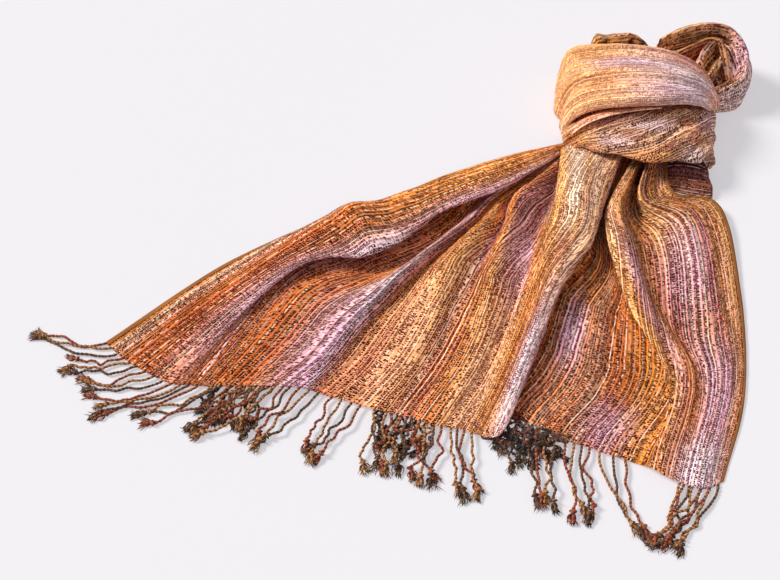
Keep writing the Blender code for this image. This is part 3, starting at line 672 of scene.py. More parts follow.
LARGE_DYES_AND_SHADE = (
    Dye(4.5, 0.10, 1.6, 0.22, GOLD, 0.85),
    Dye(4.6, 0.36, 0.9, 0.16, SALMON, 0.7),
    Dye(3.9, 0.62, 1.3, 0.16, LILAC, 0.95),
    Dye(5.0, 0.88, 1.2, 0.14, PALE_LILAC, 0.9),
    Dye(2.5, 0.68, 0.6, 0.07, PALE_LILAC, 0.9),
    # The maroon patches and the wine patch below are painted shade on the loop's inner wall.
    Dye(1.0, 0.30, 1.4, 0.40, MAROON, 0.9),
    Dye(0.4, 0.62, 0.25, 0.20, MAROON, 0.9),
    Dye(1.4, 0.66, 0.20, 0.18, WINE, 0.9),
    Dye(0.9, 0.66, 0.25, 0.18, LILAC, 0.9),
    Dye(2.6, 0.30, 0.3, 0.04, GOLD, 0.9),
    # The maroon patches are painted shade in the deep slits.
    Dye(2.3, 0.22, 0.7, 0.07, MAROON, 0.95),
    Dye(3.3, 0.39, 0.6, 0.06, MAROON, 0.95),
    Dye(3.2, 0.88, 0.8, 0.06, MAROON, 0.92),
)
INNER_LOOP_NUDGES = (
    Nudge(2.0, 1.0, 9.0, 0.90, (2.0, 8.0, 0.0)),
)
INNER_LOOP_CREASES = (
    Crease(0.6, -0.10, 0.8, 0.90, 3.0, 3.2),
    Crease(1.3, -0.10, 1.5, 1.10, 2.6, -4.0),
    Crease(1.8, -0.10, 1.9, 1.10, 2.4, 3.0),
    Crease(2.4, -0.10, 2.3, 1.10, 2.4, -3.6),
    Crease(2.8, -0.10, 2.7, 1.10, 2.6, 3.0),
    Crease(3.3, -0.10, 3.2, 1.10, 2.8, -3.6),
)
INNER_LOOP_DYES_AND_SHADE = (
    Dye(1.0, 0.3, 0.5, 0.60, GOLD, 0.9),
    # The maroon patches are painted shade: in the groove between the crests and at both feet.
    Dye(1.9, 0.4, 0.22, 0.90, MAROON, 0.9),
    Dye(2.5, 0.5, 0.3, 0.60, GOLD, 0.8),
    Dye(3.1, 0.6, 0.3, 0.60, MAUVE, 0.8),
    Dye(0.1, 0.5, 0.3, 0.90, MAROON, 0.9),
    Dye(4.0, 0.5, 0.3, 0.90, MAROON, 0.9),
)
# The wine band along the hem is painted shade, where the flat end lies under the fan.
UNDER_PAINTED_SHADE = (
    Dye(2.0, 0.90, 3.0, 0.20, WINE, 0.9),
)


# How the bands and the loops are dressed
class Plan(NamedTuple):
    """How a band or loop is dressed: its width and slant on the thread map, creases, dye and painted
    shade; its cut is not used.
    """
    form: tuple
    width: float
    shear: float
    nudges: tuple
    creases: tuple
    ground: tuple
    dyes: tuple
    flat: tuple


BAND_PLANS = (
    Plan(UPPER_WRAP, 0.20, 0.0, UPPER_NUDGES, UPPER_CREASES, PEACH, UPPER_DYES, (0.13, 0.27)),
    Plan(INNER_WRAP, 0.04, 0.0, (), INNER_CREASES, PEACH, INNER_DYES, (0.022, 0.115)),
    Plan(LOWER_WRAP, 0.16, -0.85, LOWER_NUDGES, LOWER_CREASES, PEACH, LOWER_DYES, (0.08, 0.225)),
    # The tail wrap's wine ground is painted shade too.
    Plan(TAIL_WRAP, 0.08, 0.0, TAIL_NUDGES, TAIL_CREASES, WINE, TAIL_PAINTED_SHADE, (0.055, 0.075)),
    Plan(SMALL_LOOP, 0.14, 0.0, SMALL_NUDGES, SMALL_CREASES, GOLD, SMALL_DYES_AND_SHADE, (0.10, 0.13)),
)
LOOP_PLANS = (
    Plan(LARGE_LOOP, 0.18, 0.0, LARGE_NUDGES, LARGE_CREASES, PEACH, LARGE_DYES_AND_SHADE, (0.145, 0.16)),
    Plan(INNER_LOOP, 0.10, 0.0, INNER_LOOP_NUDGES, INNER_LOOP_CREASES, PEACH, INNER_LOOP_DYES_AND_SHADE,
         (0.125, 0.036)),
)


# Lines of bright and dark threads down the fan
class Accent(NamedTuple):
    """One bright or dark line of threads down the fan."""
    line: float
    width: float
    colour: tuple
    strength: float


FAN_ACCENTS = (
    Accent(0.30, 0.003, CREAM, 0.7),
    Accent(0.42, 0.003, OLIVE, 0.6),
    Accent(0.62, 0.002, CREAM, 0.7),
    Accent(1.20, 0.002, CREAM, 0.5),
    Accent(3.10, 0.002, PALE_LILAC, 0.7),
    Accent(5.12, 0.003, PALE_LILAC, 0.9),
    Accent(7.70, 0.004, CREAM, 0.5),
    Accent(14.80, 0.004, GREY, 0.5),
    Accent(20.90, 0.003, GREY, 0.6),
    Accent(21.25, 0.005, MAGENTA, 0.8),
    Accent(21.60, 0.003, OLIVE, 0.6),
    Accent(22.20, 0.003, CREAM, 0.6),
    Accent(22.45, 0.003, OLIVE, 0.5),
)


# The fringe: two-ply strands, gathered by chance into loose tassels
class Tassel(NamedTuple):
    """Strands that lie together: the stretch of hem they leave and where their tips gather."""
    first: float
    last: float
    strands: int
    tip_x: float
    tip_y: float
    pitch: float
    rest: float


# How strands leave the hem and gather at their tips, in millimetres
INSIDE_ROW = 4
HEM_OVERLAP = 1.5
TIP_RAGGED = 5.0
TIP_CHANGE = 2.6
TASSEL_CHANGE = 40.0

# The way of a strand: how it leads off, lands, waves, hops and curls
STRAND_STEPS = 64
STRAND_REACH = 80.0
STRAND_CLEARANCE = 0.2
LEAD = 0.7
LANDING = 0.5
WAVE = 7.5
SLACK = 2.5
SLOW_WAVES = 2.6
QUICK_WAVES = 6.5
QUICK_SHARE = 0.5
QUICK_NOISE = 5.0
LIFT = 2.4
HOPS = 3.5
HOP_NOISE = 9.0
CURL = 70.0
CURL_START = 0.5
CURL_NOISE = (3.3, 7.7)

# The two plies and the knot
STRAND_RADIUS = 1.8
STRAND_SIDES = 8
STRAND_WELD = 1e-7
PLY_DEPTH = 0.28
PLY_TURNS = 11.0
KNOT_PLACE = 0.86
KNOT_HALF = 0.022
KNOT_SWELL = 1.6

# The tuft of loose ends
TUFT_HAIRS = 22
TUFT_LENGTH = 16.0
TUFT_BEND = 7.0
TUFT_SPREAD = 1.1
TUFT_SHADE = 0.75
HAIR_RADIUS = 1.0
HAIR_TAPER = 0.6
HAIR_STEPS = 5
HAIR_SIDES = 3
HAIR_CURVE = 4.4
HAIR_RISE = 1.2
HAIR_RISE_CHANGE = 1.4
HAIR_SHORT = 0.75
HAIR_LONG = 0.5
HAIR_THREAD = 0.002
ANGLE_NOISE = (3.7, 2.0)
RISE_NOISE = (2.9, 4.0)
REACH_NOISE = (1.3, 6.0)
BEND_NOISE = (5.1, 8.0)

# Which strand gets which chance and colour
SEED_STEP = 7.3
COLOUR_STEP = 7
COLOUR_GROUP = 3
STRAND_COLOURS = (TAN, RUST, BROWN, AMBER, BROWN, TAN, OLIVE, WINE, TAN, RUST, BROWN)
DARK_COLOURS = (BROWN, MAROON, SPECK, MAROON, BROWN, WINE)

# Where the strands lie
BUNDLE = (
    Tassel(0.70, 0.80, 6, 122, -190, 3.0, 4.0),
    Tassel(0.80, 0.97, 9, 150, -196, 3.5, 5.5),
    Tassel(0.04, 0.14, 5, -190, -160, 3.0, 3.5),
    Tassel(0.50, 0.60, 2, -8, -186, 3.0, 3.5),
)
LEFT_TANGLES = (
    Tassel(0.225, 0.262, 5, -178, -164, 3.0, 5.0),
    Tassel(0.250, 0.290, 3, -152, -172, 3.0, 6.5),
    Tassel(0.440, 0.480, 2, 8, -208, 3.0, 6.5),
    Tassel(0.465, 0.495, 2, 34, -192, 3.0, 5.0),
)
RIGHT_TANGLES = (
    Tassel(0.940, 0.975, 4, 256, -304, 3.0, 4.0),
)
LEFT_FRINGE = (
    Tassel(0.004, 0.030, 3, -385, -60, 4.5, 1.5),
    Tassel(0.042, 0.070, 3, -345, -99, 5.0, 1.5),
    Tassel(0.085, 0.115, 3, -325, -125, 5.0, 1.5),
    Tassel(0.130, 0.168, 4, -311, -153, 5.0, 1.5),
    Tassel(0.190, 0.215, 3, -262, -164, 5.5, 1.5),
    Tassel(0.232, 0.280, 4, -203, -180, 6.0, 4.6),
    Tassel(0.300, 0.342, 4, -140, -192, 6.5, 4.6),
    Tassel(0.362, 0.405, 4, -82, -208, 7.0, 4.6),
    Tassel(0.425, 0.475, 5, -14, -222, 6.5, 4.6),
    Tassel(0.492, 0.522, 4, 34, -236, 6.5, 4.6),
    Tassel(0.536, 0.566, 4, 78, -250, 6.5, 4.6),
)
RIGHT_FRINGE = (
    Tassel(0.715, 0.750, 4, 150, -262, 6.0, 4.6),
    Tassel(0.765, 0.800, 4, 192, -276, 6.0, 4.6),
    Tassel(0.815, 0.850, 3, 240, -296, 4.6, 1.5),
    Tassel(0.935, 0.990, 5, 268, -304, 4.6, 1.5),
)
UNDER_FRINGE = (
    Tassel(0.030, 0.190, 8, -166, -168, 7.0, 1.5),
    Tassel(0.500, 0.640, 8, 12, -198, 7.0, 1.5),
    Tassel(0.780, 0.930, 8, 150, -212, 7.0, 1.5),
)


# The yarn and the weave, with lengths in millimetres
class Weave(NamedTuple):
    """How the yarn shows: rows of specks, how dark and how many, and how far it keeps to its dye."""
    row: float
    step: float
    strength: float
    rare: float
    hold: float
    warm: float


FINE_WEAVE = Weave(2.1, 2.1, 0.85, 0.93, 0.5, 0.65)
BOLD_WEAVE = Weave(2.3, 2.3, 1.0, 0.86, 0.5, 0.4)
LOOSE_WEAVE = Weave(3.1, 2.6, 1.0, 0.86, 0.34, 0.0)
STRIPES = (
    (0.00, WINE), (0.10, RUST), (0.22, ORANGE), (0.34, SALMON), (0.44, AMBER), (0.54, ORANGE),
    (0.64, GOLD), (0.74, PEACH), (0.82, SALMON), (0.90, LILAC), (1.00, RUST),
)
PER_METRE = 1000.0
SOFT_DETAIL = 2.0
FINE_DETAIL = 3.0
DRIFT = 2.0
DRIFT_SCALE = (0.03, 0.012)
FINE_THREADS = 0.6
BROAD_STRIPES = 0.085
DASH_SCALE = (1.1, 0.19)
CHANGE_SCALE = (40.0, 0.011)
PICK_START = 0.05
PICK_FINE = 0.45
PICK_BROAD = 0.25
PICK_DASH = 0.2
PICK_CHANGE = 0.8
SHADE_START = 0.48
SHADE_FINE = 0.95
SHADE_DASH = 0.5
HOLD_CHANGE = 0.4
# Dye this dark, such as the painted shade, covers the stripes
DARK_GROUND = (0.07, 0.02)
PALE_GROUND = (0.28, 0.55)
PALE_THREADS = 0.15
PALE_WIDTH = 0.07
PALE_STRENGTH = 0.75
PALE_TORN = (0.2, 0.4)
ACCENT_TORN = (0.1, 0.4)

# Dark specks in rows, loose dark grains, and rows that are dark all along
ROW_JITTER = 0.85
ROW_NUMBERS = 97.0
PACE_START = 0.65
PACE_CHANGE = 0.7
SHIFT = 1.6
SHIFT_SCALE = (31.0, 0.3)
SECOND_LUCK = 3.0
SPECK_LONG = 0.2
SPECK_LONG_CHANGE = 0.24
SPECK_WIDE = 0.28
SPECK_WIDE_CHANGE = 0.2
SPECK_SIDE = 0.08
SPECK_END = 0.06
SPECK_BROWN = 0.6
PATCH_SCALE = (0.05, 0.018)
OFTEN = (0.42, 0.56)
OFTEN_BY_PATCH = 2.4
OFTEN_BY_ROW = 0.9
GRAIN_SCALE = (1.2, 0.6)
GRAIN_BY_PATCH = 0.9
GRAIN_FADE = 0.06
GRAIN_EDGE = (0.62, 0.4)
DARK_ROWS = 0.88
DARK_ROW_STRENGTH = 0.6
DARK_ROW_EDGE = (0.3, 0.12)

# The selvedge, and the surface of the cloth and of the fringe's yarn
SELVEDGE_EDGE = (6.6, 5.8)
STREAK = 0.8
STREAK_SCALE = (0.8, 0.02)
RUNNING_THREAD = 7.4
RUNNING_HALF = 0.8
RUNNING_STITCH = 3.4
RUNNING_GAP = 0.35
RUNNING_STRENGTH = 0.9
MOTTLE = 0.5
MOTTLE_START = 0.92
MOTTLE_SCALE = (0.6, 0.25)
WEAVE_PITCH = 1.2
WEAVE_BUMP = 0.25
YARN_DEPTH = 0.0004
PLY_PITCH = 5.2
PLY_EDGE = (-0.4, 0.4)
DARK_PLY = 0.8
FIBRE_SCALE = (6.0, 300.0)
FIBRE_BUMP = 0.4
GOLD_FIBRES = (0.6, 0.78)


# The table, the light and the camera
TABLE_HALF = 4.0
TABLE_GLOW = 0.94
SKY = (0.96, 0.96, 1.0)
WINDOW = Vector((-1.1, 0.35, 0.95))
WINDOW_ANGLE = 0.30
WINDOW_COLOUR = (1.0, 0.97, 0.93)
EYE = Vector((0.0, -0.757, 1.081))
TABLE_CUTS = 8
TABLE_ROUGHNESS = 0.7
TABLE_GLOSS = 0.1
SENSOR_WIDTH = 36.0
CAMERA_TILT = 35.0


# Curves and rows of points
def uneven(*place):
    """A smooth random number from -1 to 1, the same each time for the same place."""
    return noise.noise(Vector(place))


def on_curve(points, knots, place):
    """Point of a smooth curve that passes through each point at its knot."""
    last = len(knots) - 2
    span = 0
    while span < last and place > knots[span + 1]:
        span += 1
    length = knots[span + 1] - knots[span]
    share = (place - knots[span]) / length
    start, end = points[span], points[span + 1]
    chord = (end - start) / length
    leave, arrive = chord, chord
    if span > 0:
        before = knots[span] - knots[span - 1]
        leave = ((start - points[span - 1]) / before * length + chord * before) / (before + length)
    if span < last:
        after = knots[span + 2] - knots[span + 1]
        arrive = ((points[span + 2] - end) / after * length + chord * after) / (after + length)
    square, cube = share ** 2, share ** 3
    return (start * (2 * cube - 3 * square + 1) + leave * length * (cube - 2 * square + share)
            + end * (3 * square - 2 * cube) + arrive * length * (cube - square))


def across_knots(points):
    """Knots for a curve across the folds, spaced so that it never loops between points."""
    knots = [0.0]
    for start, end in zip(points, points[1:]):
        knots.append(knots[-1] + math.sqrt((end - start).length))
    return knots


def sheet_row(points, cuts, clearance):
    """Points across a sheet, with each span between two lines cut into equal parts.

    A curve that would swing lower than the clearance stays level with its two lines.
    """
    knots = across_knots(points)
    row = []
    for span, parts in enumerate(cuts):
        for number in range(parts):
            part = number / parts
            point = on_curve(points, knots, knots[span] + (knots[span + 1] - knots[span]) * part)
            level = points[span].lerp(points[span + 1], part).z
            point.z = max(point.z, min(level, clearance))
            row.append(point)
    row.append(points[-1].copy())
    return row


def spaced(count, start=0.0, end=1.0):
    """Equal steps from start to end."""
    return [start + (end - start) * step / (count - 1) for step in range(count)]


def even_cuts(form):
    """The same number of parts for each span between two lines of a band or loop."""
    return (form.cuts,) * (len(form.lines) - 1)


def fan_rows():
    """Rows of the fan, from the knot to the hem."""
    lines = [[Vector(station) for station in line[1:]] for line in FAN_FOLDS]
    rows = []
    for place in spaced(FAN_ROWS):
        across = [on_curve(line, FAN_STATIONS, place) for line in lines]
        rows.append(sheet_row(across, FAN_CUTS, UNDER_CLEARANCE))
    return rows


def under_rows():
    """Rows of the flat end, from the knot to its hem."""
    rows = []
    height = Vector((0.0, 0.0, UNDER_CLOTH / 2))
    for place in spaced(UNDER_ROWS):
        across = []
        for line in UNDER_LINES:
            mouth, hem = Vector((*line.mouth, 0.0)), Vector((*line.hem, 0.0))
            across.append(mouth.lerp(hem, place) + height)
        rows.append(sheet_row(across, UNDER_CUTS, UNDER_CLOTH / 2))
    return rows


def signed_power(value, power):
    """A power that keeps the sign."""
    return math.copysign(abs(value) ** power, value)


def band_rows(band):
    """Rows of a band, from its left foot over the knot to its right foot."""
    rows = []
    for degrees in spaced(band.steps, band.start, band.end):
        angle = math.radians(degrees)
        run = signed_power(math.cos(angle), 2 / band.roundness)
        climb = max(math.sin(angle), 0.0) ** (2 / band.roundness)
        share = (1 - run) / 2
        across = []
        for line in band.lines:
            pull = 2 * line.back_top - (line.back_left + line.back_right) / 2
            side = line.back_left * (1 - share) ** 2 + line.back_right * share ** 2
            back = side + 2 * pull * share * (1 - share)
            height = TABLE_CLEARANCE + line.rise * (1 + line.lean * run) * climb
            along = line.left + (line.right - line.left) * share
            across.append(Vector((along, back, height)))
        rows.append(sheet_row(across, even_cuts(band), TABLE_CLEARANCE))
    return rows


def loop_rows(loop):
    """Rows of a standing loop, filled out on its inner and its outer side and at its top."""
    path = [Vector((station.x, station.y, 0.0)) for station in loop.stations]
    sizes = [Vector((station.width, station.height, 0.0)) for station in loop.stations]
    knots = spaced(len(path))
    rows = []
    for place in spaced(loop.steps):
        centre = on_curve(path, knots, place)
        size = on_curve(sizes, knots, place)
        behind = on_curve(path, knots, max(place - PATH_STEP, 0.0))
        ahead = on_curve(path, knots, min(place + PATH_STEP, 1.0)) - behind
        outward = Vector((-ahead.y, ahead.x, 0.0)).normalized()
        across = []
        for line in loop.lines:
            aside = line.outward * (loop.inner if line.outward < 0 else loop.outer) * size.x
            height = Vector((0.0, 0.0, line.height * size.y * loop.tall))
            across.append(centre + outward * aside + height)
        rows.append(sheet_row(across, even_cuts(loop), TABLE_CLEARANCE))
    return rows


# Sheets of cloth
CREASE_BEND = 0.05
CREASE_TURNS = 5.0
CREASE_FADE = 0.6
CREASE_ROUND = 1.8
DYE_ROUND = 3
RAGGED = 0.16
RAGGED_CHANGE = 5.0
RAGGED_GROWTH = 4
TINY = 1e-9


class Sheet:
    """One stretch of cloth: its points row by row, and where each lies in the weave."""

    def __init__(self, rows, cuts):
        self.points = np.array([[tuple(point) for point in row] for row in rows])
        spans = [span + np.arange(parts) / parts for span, parts in enumerate(cuts)]
        self.lines = np.concatenate(spans + [[len(cuts)]])
        self.places = np.linspace(0.0, 1.0, len(rows))

    def across(self):
        """Length along each row, up to each point."""
        steps = np.linalg.norm(np.diff(self.points, axis=1), axis=2)
        return np.pad(np.cumsum(steps, axis=1), ((0, 0), (1, 0)))

    def along(self):
        """Length down each column, from the last row back to each point."""
        steps = np.linalg.norm(np.diff(self.points[::-1], axis=0), axis=2)
        return np.pad(np.cumsum(steps, axis=0), ((1, 0), (0, 0)))[::-1]

    def outward(self):
        """Direction out of the cloth at each point, on its upper side."""
        way = np.cross(np.gradient(self.points, axis=0), np.gradient(self.points, axis=1))
        way /= np.linalg.norm(way, axis=2, keepdims=True) + TINY
        return way if way[:, :, 2].sum() > 0 else -way

    def push(self, lift, lowest):
        """Move the cloth out by a lift at each point, and keep it above what it lies on."""
        floor = np.minimum(self.points[:, :, 2], lowest)
        self.points = self.points + self.outward() * lift[:, :, None]
        self.points[:, :, 2] = np.maximum(self.points[:, :, 2], floor)

    def crease(self, creases, amount, lowest):
        """Raise the creases."""
        reach = self.across()
        lift = np.zeros(reach.shape)
        for number, crease in enumerate(creases):
            share = (self.places - crease.first_place) / (crease.last_place - crease.first_place)
            share = np.clip(share, 0.0, 1.0)
            line = crease.first_line + (crease.last_line - crease.first_line) * share
            line = line + CREASE_BEND * np.sin(CREASE_TURNS * share + number)
            middle = np.array([np.interp(at, self.lines, row) for at, row in zip(line, reach)])
            away = np.abs(reach - middle[:, None]) / crease.width
            fade = np.sin(math.pi * share) ** CREASE_FADE
            lift += crease.height * amount * fade[:, None] * np.exp(-away ** CREASE_ROUND)
        self.push(lift, lowest)

    def nudge(self, nudges):
        """Move the cloth a little where it bulges or dips, but never into the table."""
        for nudge in nudges:
            aside = (self.lines[None, :] - nudge.line) / nudge.across
            ahead = (self.places[:, None] - nudge.place) / nudge.along
            share = np.exp(-aside ** 2 - ahead ** 2)[:, :, None]
            self.points = self.points + share * np.array(nudge.move)
        self.points[:, :, 2] = np.maximum(self.points[:, :, 2], TABLE_CLEARANCE)

    def ruffle(self, ruffle, amount, seed, lowest):
        """Add small uneven waves that are longer along the threads than across them."""
        reach, length = self.across(), self.along()
        lift = np.zeros(reach.shape)
        for place in np.ndindex(reach.shape):
            lift[place] = uneven(reach[place] / ruffle.wide, length[place] / ruffle.long, seed)
        self.push(lift * (ruffle.height * amount), lowest)

    def threads(self, width, shear):
        """Place of each point on the thread map, in metres: across the threads and along them."""
        reach, length = self.across(), self.along() * MM
        even = reach / reach[:, -1:]
        counted = np.linspace(0.0, 1.0, reach.shape[1])[None, :]
        return (even + counted) / 2 * width + shear * length, length

    def dyed(self, ground, dyes):
        """Colour of the dye and the painted shade at each point, ragged along the threads, with its
        line as the alpha.
        """
        colour = np.ones((*self.points.shape[:2], 4))
        colour[:, :, :3] = ground
        colour[:, :, 3] = self.lines / self.lines[-1]
        for number, dye in enumerate(dyes):
            ragged = np.array([uneven(line * RAGGED_CHANGE, number, 0.0) for line in self.lines])
            aside = np.abs(self.lines[None, :] - dye.line) / dye.across
            shift = RAGGED * min(RAGGED_GROWTH * dye.along, 1.0) * ragged[None, :]
            ahead = np.abs(self.places[:, None] - dye.place + shift) / dye.along
            share = (dye.strength * np.exp(-aside ** DYE_ROUND - ahead ** DYE_ROUND))[:, :, None]
            colour[:, :, :3] = colour[:, :, :3] * (1 - share) + np.array(dye.colour) * share
        return colour


def fan_sheet():
    """The fan with its creases."""
    amount = bpy.context.scene.scarf_cloth.crease_depth
    sheet = Sheet(fan_rows(), FAN_CUTS)
    sheet.nudge(FAN_NUDGES)
    sheet.crease(FAN_CREASES, amount, UNDER_CLEARANCE)
    for seed, ruffle in enumerate(FAN_RUFFLES, 1):
        sheet.ruffle(ruffle, amount, seed, UNDER_CLEARANCE)
    return sheet


def under_sheet():
    """The flat end."""
    return Sheet(under_rows(), UNDER_CUTS)


def gathered_sheet(rows, plan):
    """A band or a loop with its creases."""
    amount = bpy.context.scene.scarf_cloth.crease_depth
    sheet = Sheet(rows, even_cuts(plan.form))
    sheet.nudge(plan.nudges)
    sheet.crease(plan.creases, amount, TABLE_CLEARANCE)
    sheet.ruffle(GATHERED_RUFFLE, amount, len(plan.form.name), TABLE_CLEARANCE)
    return sheet


# Meshes
def lay_grid(shape, wide, long, point_at, thread_at, colour_at):
    """Add a grid of faces, with each corner moved to its point, and given its thread place and its
    colour of dye and painted shade.
    """
    threads = shape.loops.layers.uv["Thread"]
    dye = shape.verts.layers.float_color["Dye"]
    grid = bmesh.ops.create_grid(shape, x_segments=wide, y_segments=long, size=1.0)
    corners = {}
    for vert in grid["verts"]:
        corners[vert] = (round((1 - vert.co.y) / 2 * long), round((vert.co.x + 1) / 2 * wide))
    faces = {face for vert in corners for face in vert.link_faces}
    for face in faces:
        for loop in face.loops:
            loop[threads].uv = thread_at(*corners[loop.vert])
    for vert, (row, column) in corners.items():
        vert.co = (Vector(point_at(row, column)) - MIDDLE) * MM
        vert[dye] = colour_at(row, column)
    return list(corners)


def new_shape():
    """An empty shape with a thread map and a colour for dye and painted shade."""
    shape = bmesh.new()
    shape.loops.layers.uv.new("Thread")
    shape.verts.layers.float_color.new("Dye")
    return shape


def finish(name, shape, material, node):
    """Make an object of a shape, in the place of a solid of the frame."""
    mesh = bpy.data.meshes.new(name)
    shape.to_mesh(mesh)
    shape.free()
    mesh.materials.append(material)
    mesh.shade_smooth()
    piece = bpy.data.objects.new(name, mesh)
    bpy.context.scene.collection.objects.link(piece)
    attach(piece, "root")
    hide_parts(node)
    return piece


def lay_cloth(name, sheet, width, shear, colours, material, node):
    """Make a sheet of cloth with its thickness, and with its faces turned outwards."""
    across, along = sheet.threads(width, shear)
    shape = new_shape()
    rows, columns = across.shape
    lay_grid(
        shape, columns - 1, rows - 1,
        lambda row, column: sheet.points[row, column],
        lambda row, column: (across[row, column], along[row, column]),
        lambda row, column: colours[row, column],
    )
    heart = rows // 2, columns // 2
    centre = (Vector(sheet.points[heart]) - MIDDLE) * MM
    shape.faces.ensure_lookup_table()
    shape.normal_update()
    nearest = min(shape.faces, key=lambda face: (face.calc_center_median() - centre).length)
    if nearest.normal.dot(Vector(sheet.outward()[heart])) < 0:
        bmesh.ops.reverse_faces(shape, faces=shape.faces)
    piece = finish(name, shape, material, node)
    wall = piece.modifiers.new("Cloth thickness", "SOLIDIFY")
    wall.thickness = bpy.context.scene.scarf_cloth.thickness
    wall.offset = 0.0
    wall.use_rim = True
    return piece


def core_point(row, column):
    """Point on the core, where rows climb to its top and columns go round it."""
    turn = math.tau * column / CORE_SIDES
    climb = math.pi / 2 * row / CORE_RINGS
    layer = 0.5 - 0.5 * math.cos(math.tau * CORE_LAYERS * row / CORE_RINGS)
    groove = CORE_LAYER_DEPTH * layer * (1 - row / CORE_RINGS)
    reach = max(math.cos(climb), 0.0) ** (2 / CORE_ROUNDNESS)
    height = math.sin(climb) ** (2 / CORE_ROUNDNESS)
    return CORE_CENTRE + Vector((
        (CORE_HALF.x - groove) * reach * signed_power(math.cos(turn), 2 / CORE_SQUARENESS),
        (CORE_HALF.y - groove) * reach * signed_power(math.sin(turn), 2 / CORE_SQUARENESS),
        CORE_HALF.z * height + TABLE_SKIN,
    ))


def core_thread(row, column):
    """Place on the core's thread map."""
    return row * CORE_THREAD[0], column * CORE_THREAD[1]


def core_dye_and_shade(row, column):
    """Colour of the core: wine on its front as painted shade, where it lies under the wraps, and
    layer by layer behind them.
    """
    layer = CORE_LAYERS * row // CORE_RINGS
    behind = math.sin(math.tau * column / CORE_SIDES) > CORE_SHOWS
    # Wine on the front is painted shade.
    colour = CORE_COLOURS[layer % len(CORE_COLOURS)] if behind else WINE
    return (*colour, 1.0)


# Materials
class Pattern:
    """One material, with the sums and colours that its pattern is built from."""

    def __init__(self, name):
        self.material = bpy.data.materials.new(name)
        self.material.use_nodes = True
        self.tree = self.material.node_tree
        self.shader = self.tree.nodes["Principled BSDF"]
        place = self.add("ShaderNodeUVMap", uv_map="Thread").outputs[0]
        self.place = self.add("ShaderNodeSeparateXYZ", {0: place}).outputs
        # The vertex colour carries the dye and the painted shade, and a share across the sheet as its
        # alpha.
        attribute = self.add("ShaderNodeAttribute", attribute_name="Dye", attribute_type="GEOMETRY")
        self.dye = attribute.outputs[0]
        self.line = attribute.outputs[3]

    def add(self, kind, inputs=None, **settings):
        """Add a node with its settings; each input is a value or the output of another node."""
        node = self.tree.nodes.new(kind)
        for name, value in settings.items():
            setattr(node, name, value)
        for key, value in (inputs or {}).items():
            if isinstance(value, bpy.types.NodeSocket):
                self.tree.links.new(value, node.inputs[key])
            else:
                node.inputs[key].default_value = value
        return node

    def work(self, operation, first, second=0.0, third=0.0):
        """Result of a sum on each point."""
        inputs = {0: first, 1: second, 2: third}
        return self.add("ShaderNodeMath", inputs, operation=operation).outputs[0]

    def times(self, first, second):
        """One value times another."""
        return self.work("MULTIPLY", first, second)

    def grown(self, value, by, start):
        """A start, and a value times its share on top of it."""
        return self.work("MULTIPLY_ADD", value, by, start)

    def centred(self, value):
        """A value from 0 to 1, moved so that its middle is 0."""
        return self.work("SUBTRACT", value, 0.5)

    def smooth(self, value, low, high):
        """Rise from 0 to 1 between two values, without a corner."""
        inputs = {"Value": value, "From Min": low, "From Max": high}
        return self.add("ShaderNodeMapRange", inputs, interpolation_type="SMOOTHSTEP").outputs[0]

    def blend(self, share, under, over, way="MIX"):
        """Two colours mixed."""
        colours = []
        for colour in (under, over):
            colours.append(colour if isinstance(colour, bpy.types.NodeSocket) else (*colour, 1.0))
        inputs = {0: share, 6: colours[0], 7: colours[1]}
        return self.add("ShaderNodeMix", inputs, data_type="RGBA", blend_type=way).outputs[2]

    def shaded(self, colour, light):
        """A colour made lighter or darker."""
        grey = self.add("ShaderNodeCombineXYZ", {0: light, 1: light, 2: light}).outputs[0]
        return self.blend(1.0, colour, grey, "MULTIPLY")

    def parts(self, colour):
        """The red, green and blue of a colour, or three random numbers of a cell."""
        return self.add("ShaderNodeSeparateColor", {0: colour}).outputs

    def ramp(self, value, stops, steps="LINEAR"):
        """Colours along a scale from 0 to 1."""
        node = self.add("ShaderNodeValToRGB", {0: value})
        scale = node.color_ramp
        scale.interpolation = steps
        while len(scale.elements) < len(stops):
            scale.elements.new(1.0)
        for element, (place, colour) in zip(scale.elements, stops):
            element.position = place
            element.color = colour if len(colour) == 4 else (*colour, 1.0)
        return node

    def pair(self, across, along):
        """A place on a plane."""
        return self.add("ShaderNodeCombineXYZ", {0: across, 1: along}).outputs[0]

    def scaled(self, across, along, scale):
        """A place on a plane, with its own scale each way."""
        return self.pair(self.times(across, scale[0]), self.times(along, scale[1]))

    def chance(self, first, second):
        """A random number for each pair of whole numbers."""
        inputs = {"Vector": self.pair(first, second)}
        return self.add("ShaderNodeTexWhiteNoise", inputs, noise_dimensions="2D").outputs[0]

    def cloud(self, across, along, scale, detail=SOFT_DETAIL):
        """Slow uneven change, with its own scale across and along the threads."""
        inputs = {"Vector": self.scaled(across, along, scale), "Scale": 1.0, "Detail": detail,
                  "Roughness": 0.5}
        return self.add("ShaderNodeTexNoise", inputs, noise_dimensions="2D").outputs[0]

    def strips(self, value, scale, **settings):
        """Strips of uneven width side by side."""
        inputs = {"W": value, "Scale": scale}
        return self.add("ShaderNodeTexVoronoi", inputs, voronoi_dimensions="1D", **settings)

    def cells(self, across, along, scale):
        """Cells of uneven size."""
        inputs = {"Vector": self.scaled(across, along, scale), "Scale": 1.0}
        return self.add("ShaderNodeTexVoronoi", inputs, voronoi_dimensions="2D")

    def complete(self, colour, height, strength, values):
        """Join the colour and the bump to the shader, and set its own values."""
        inputs = {"Strength": strength, "Distance": YARN_DEPTH, "Height": height}
        bump = self.add("ShaderNodeBump", inputs)
        self.tree.links.new(colour, self.shader.inputs["Base Color"])
        self.tree.links.new(bump.outputs[0], self.shader.inputs["Normal"])
        for name, value in values.items():
            self.shader.inputs[name].default_value = value
        return self.material


